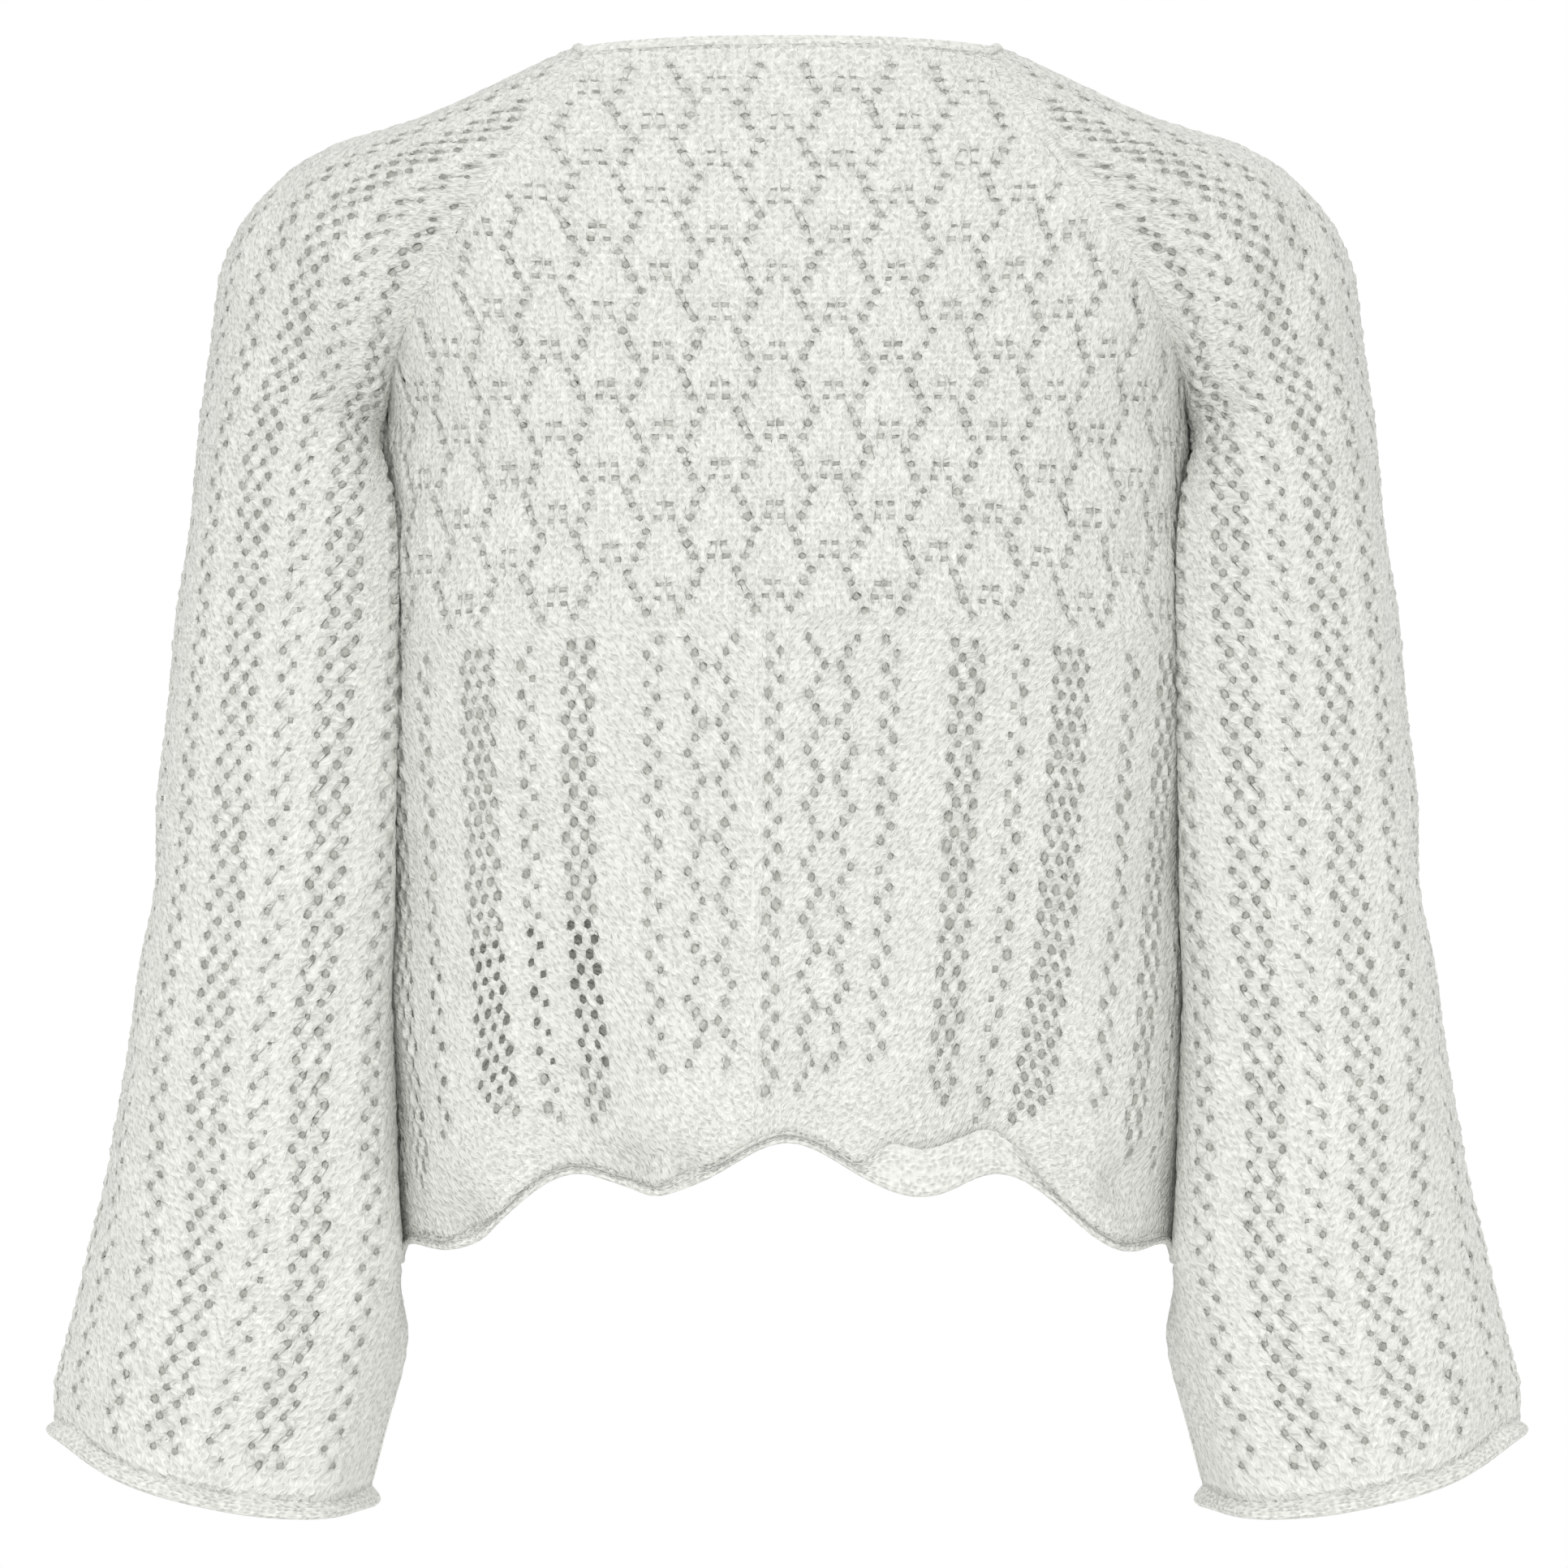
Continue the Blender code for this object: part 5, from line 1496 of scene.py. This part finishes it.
class PULLOVER_OT_seams(bpy.types.Operator):
    """Raise a soft ridge along each raglan seam and lay stitches beside the side and sleeve seams"""
    bl_idname = "pullover.seams"
    bl_label = "Seams"

    def execute(self, context):
        knit, edges = settings()
        back, front = (panel_form(face, knit, edges) for face in ("back", "front"))
        sleeve = sleeve_form(knit, edges)
        inset, lift = edges.seam_inset, knit.wall / 2
        bands, long = [], []
        for panel, sleeve_edge in ((back, 0), (front, -1)):
            for side, panel_edge, one in ((-1, 0, mirrored_form(sleeve)), (1, -1, sleeve)):
                bands.append(seam_band(panel, one, panel_edge, sleeve_edge, edges, knit))
                underarm = int(np.argmax(panel.grid[:, -1, 2] <= UNDERARM[2]))
                long.append(beside_seam(panel, underarm, side, inset, lift))
        for side in (1, -1):
            points, normals = beside_seam(sleeve, sleeve.closed_row, side, inset, lift)
            long += [(points, normals), (points * FLIP, normals * FLIP)]
        ridges = shown("raglan_seams", joined("raglan_seams", bands))
        ridges.data.materials.append(knit_side())
        stitches = stitched("side_and_sleeve_seams", long, loop_stitch(edges.seam_stitch, edges.seam_width), {
            "Spacing": edges.seam_stitch, "Unevenness": 0.08, "Seed": knit.seed + 5,
        })
        for piece in (ridges, stitches):
            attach(piece, "root")
        return {"FINISHED"}


class PULLOVER_OT_label(bpy.types.Operator):
    """Sew the blank label into the back neck"""
    bl_idname = "pullover.label"
    bl_label = "Label"

    def execute(self, context):
        knit, edges = settings()
        rings = label_rings(panel_form("back", knit, edges))
        down, around = 1000 * run_along(rings[:, 0]), 1000 * run_round(rings[0])
        mesh = lofted("blank_label", rings, down, around)
        mesh.materials.append(material_of("polyester satin ribbon", satin_surface))
        label = belongs(shown("blank_label", mesh), "label_satin", "neck_label")

        # Two short lines of sewing hold its upper corners
        columns = rings.shape[1] // 2
        inner = rings[1, columns:][::-1]
        inward = unit(inner - rings[1, :columns])
        lines = [(inner[ends] + inward[ends] * SEWING_OFF, inward[ends]) for ends in SEWN_ENDS]
        sewing = stitched("label_sewing", lines, loop_stitch(*SEWING[:2]), {
            "Spacing": SEWING[2], "Unevenness": 0.1, "Seed": 13,
        })
        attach(sewing, "root")
        return {"FINISHED"}


class PULLOVER_OT_stage(bpy.types.Operator):
    """Set up the floor, the soft light and the camera"""
    bl_idname = "pullover.stage"
    bl_label = "Stage"

    def execute(self, context):
        studio = context.scene.pullover_studio
        scene = context.scene
        scene.view_settings.view_transform = "Standard"
        points = [(studio.floor_radius * np.cos(a), studio.floor_radius * np.sin(a), studio.floor_z)
                  for a in np.linspace(0.0, 2 * np.pi, FLOOR_SIDES + 1)[:-1]]
        mesh = bpy.data.meshes.new("floor")
        mesh.from_pydata(points, [], [list(range(len(points)))])
        floor = shown("floor", mesh)
        # Matte studio paper: pale, without gloss
        mesh.materials.append(material_of("matte studio paper", lambda tree, yarn: {
            "Base Color": (*linear("F7F7F7"), 1.0), "Roughness": 0.95}))

        world = bpy.data.worlds.new("white surroundings")
        world.use_nodes = True
        scene.world = world
        tree = world.node_tree
        way = node(tree, "ShaderNodeTexCoord")
        level = node(tree, "ShaderNodeSeparateXYZ", {0: way.outputs["Generated"]})
        strength = node(tree, "ShaderNodeMapRange", {
            "Value": level.outputs["Z"], "From Min": SKY_FADE[0], "From Max": SKY_FADE[1],
            "To Min": SKY_BELOW * studio.sky, "To Max": studio.sky})
        fill(tree, tree.nodes["Background"], {"Color": (1.0, 1.0, 1.0, 1.0), "Strength": strength})

        for name, place, size in LAMPS:
            lamp = bpy.data.lights.new(name, "AREA")
            lamp.size, lamp.energy = size, studio.key if "key" in name else studio.fill
            thing = shown(name, lamp)
            thing.location = place
            towards = Vector(np.array(LAMPS_AIM) - np.array(place))
            thing.rotation_euler = towards.to_track_quat("-Z", "Y").to_euler()

        camera = bpy.data.cameras.new("camera")
        camera.sensor_width = SENSOR_WIDTH
        camera.lens = camera.sensor_width * studio.distance / studio.frame_width
        camera.clip_end = CLIP_END
        thing = shown("camera", camera)
        thing.location = (CAMERA_AIM[0], CAMERA_AIM[1] - studio.distance, CAMERA_AIM[2])
        thing.rotation_euler = (np.pi / 2, 0.0, 0.0)
        scene.camera = thing
        return {"FINISHED"}


class PULLOVER_PT_panel(bpy.types.Panel):
    """Lists the pieces of the pullover"""
    bl_label = "Pullover"
    bl_idname = "PULLOVER_PT_panel"
    bl_space_type = "VIEW_3D"
    bl_region_type = "UI"
    bl_category = "Pullover"

    def draw(self, context):
        for step in STEPS:
            self.layout.operator(step.bl_idname)


STEPS = (
    PULLOVER_OT_back, PULLOVER_OT_front, PULLOVER_OT_sleeves, PULLOVER_OT_neck_edge, PULLOVER_OT_seams,
    PULLOVER_OT_label, PULLOVER_OT_stage,
)
SETTINGS = {
    "pullover_knit": KnitSizes, "pullover_edges": EdgeSizes, "pullover_yarn": YarnFinish,
    "pullover_studio": StudioSizes,
}


def register():
    for group in SETTINGS.values():
        bpy.utils.register_class(group)
    for name, group in SETTINGS.items():
        setattr(bpy.types.Scene, name, PointerProperty(type=group))
    for thing in (*STEPS, PULLOVER_PT_panel):
        bpy.utils.register_class(thing)


def unregister():
    for thing in (PULLOVER_PT_panel, *reversed(STEPS)):
        bpy.utils.unregister_class(thing)
    for name in SETTINGS:
        delattr(bpy.types.Scene, name)
    for group in SETTINGS.values():
        bpy.utils.unregister_class(group)


def main():
    register()
    for step in STEPS:
        group, name = step.bl_idname.split(".")
        getattr(getattr(bpy.ops, group), name)()


if __name__ == "__main__":
    main()
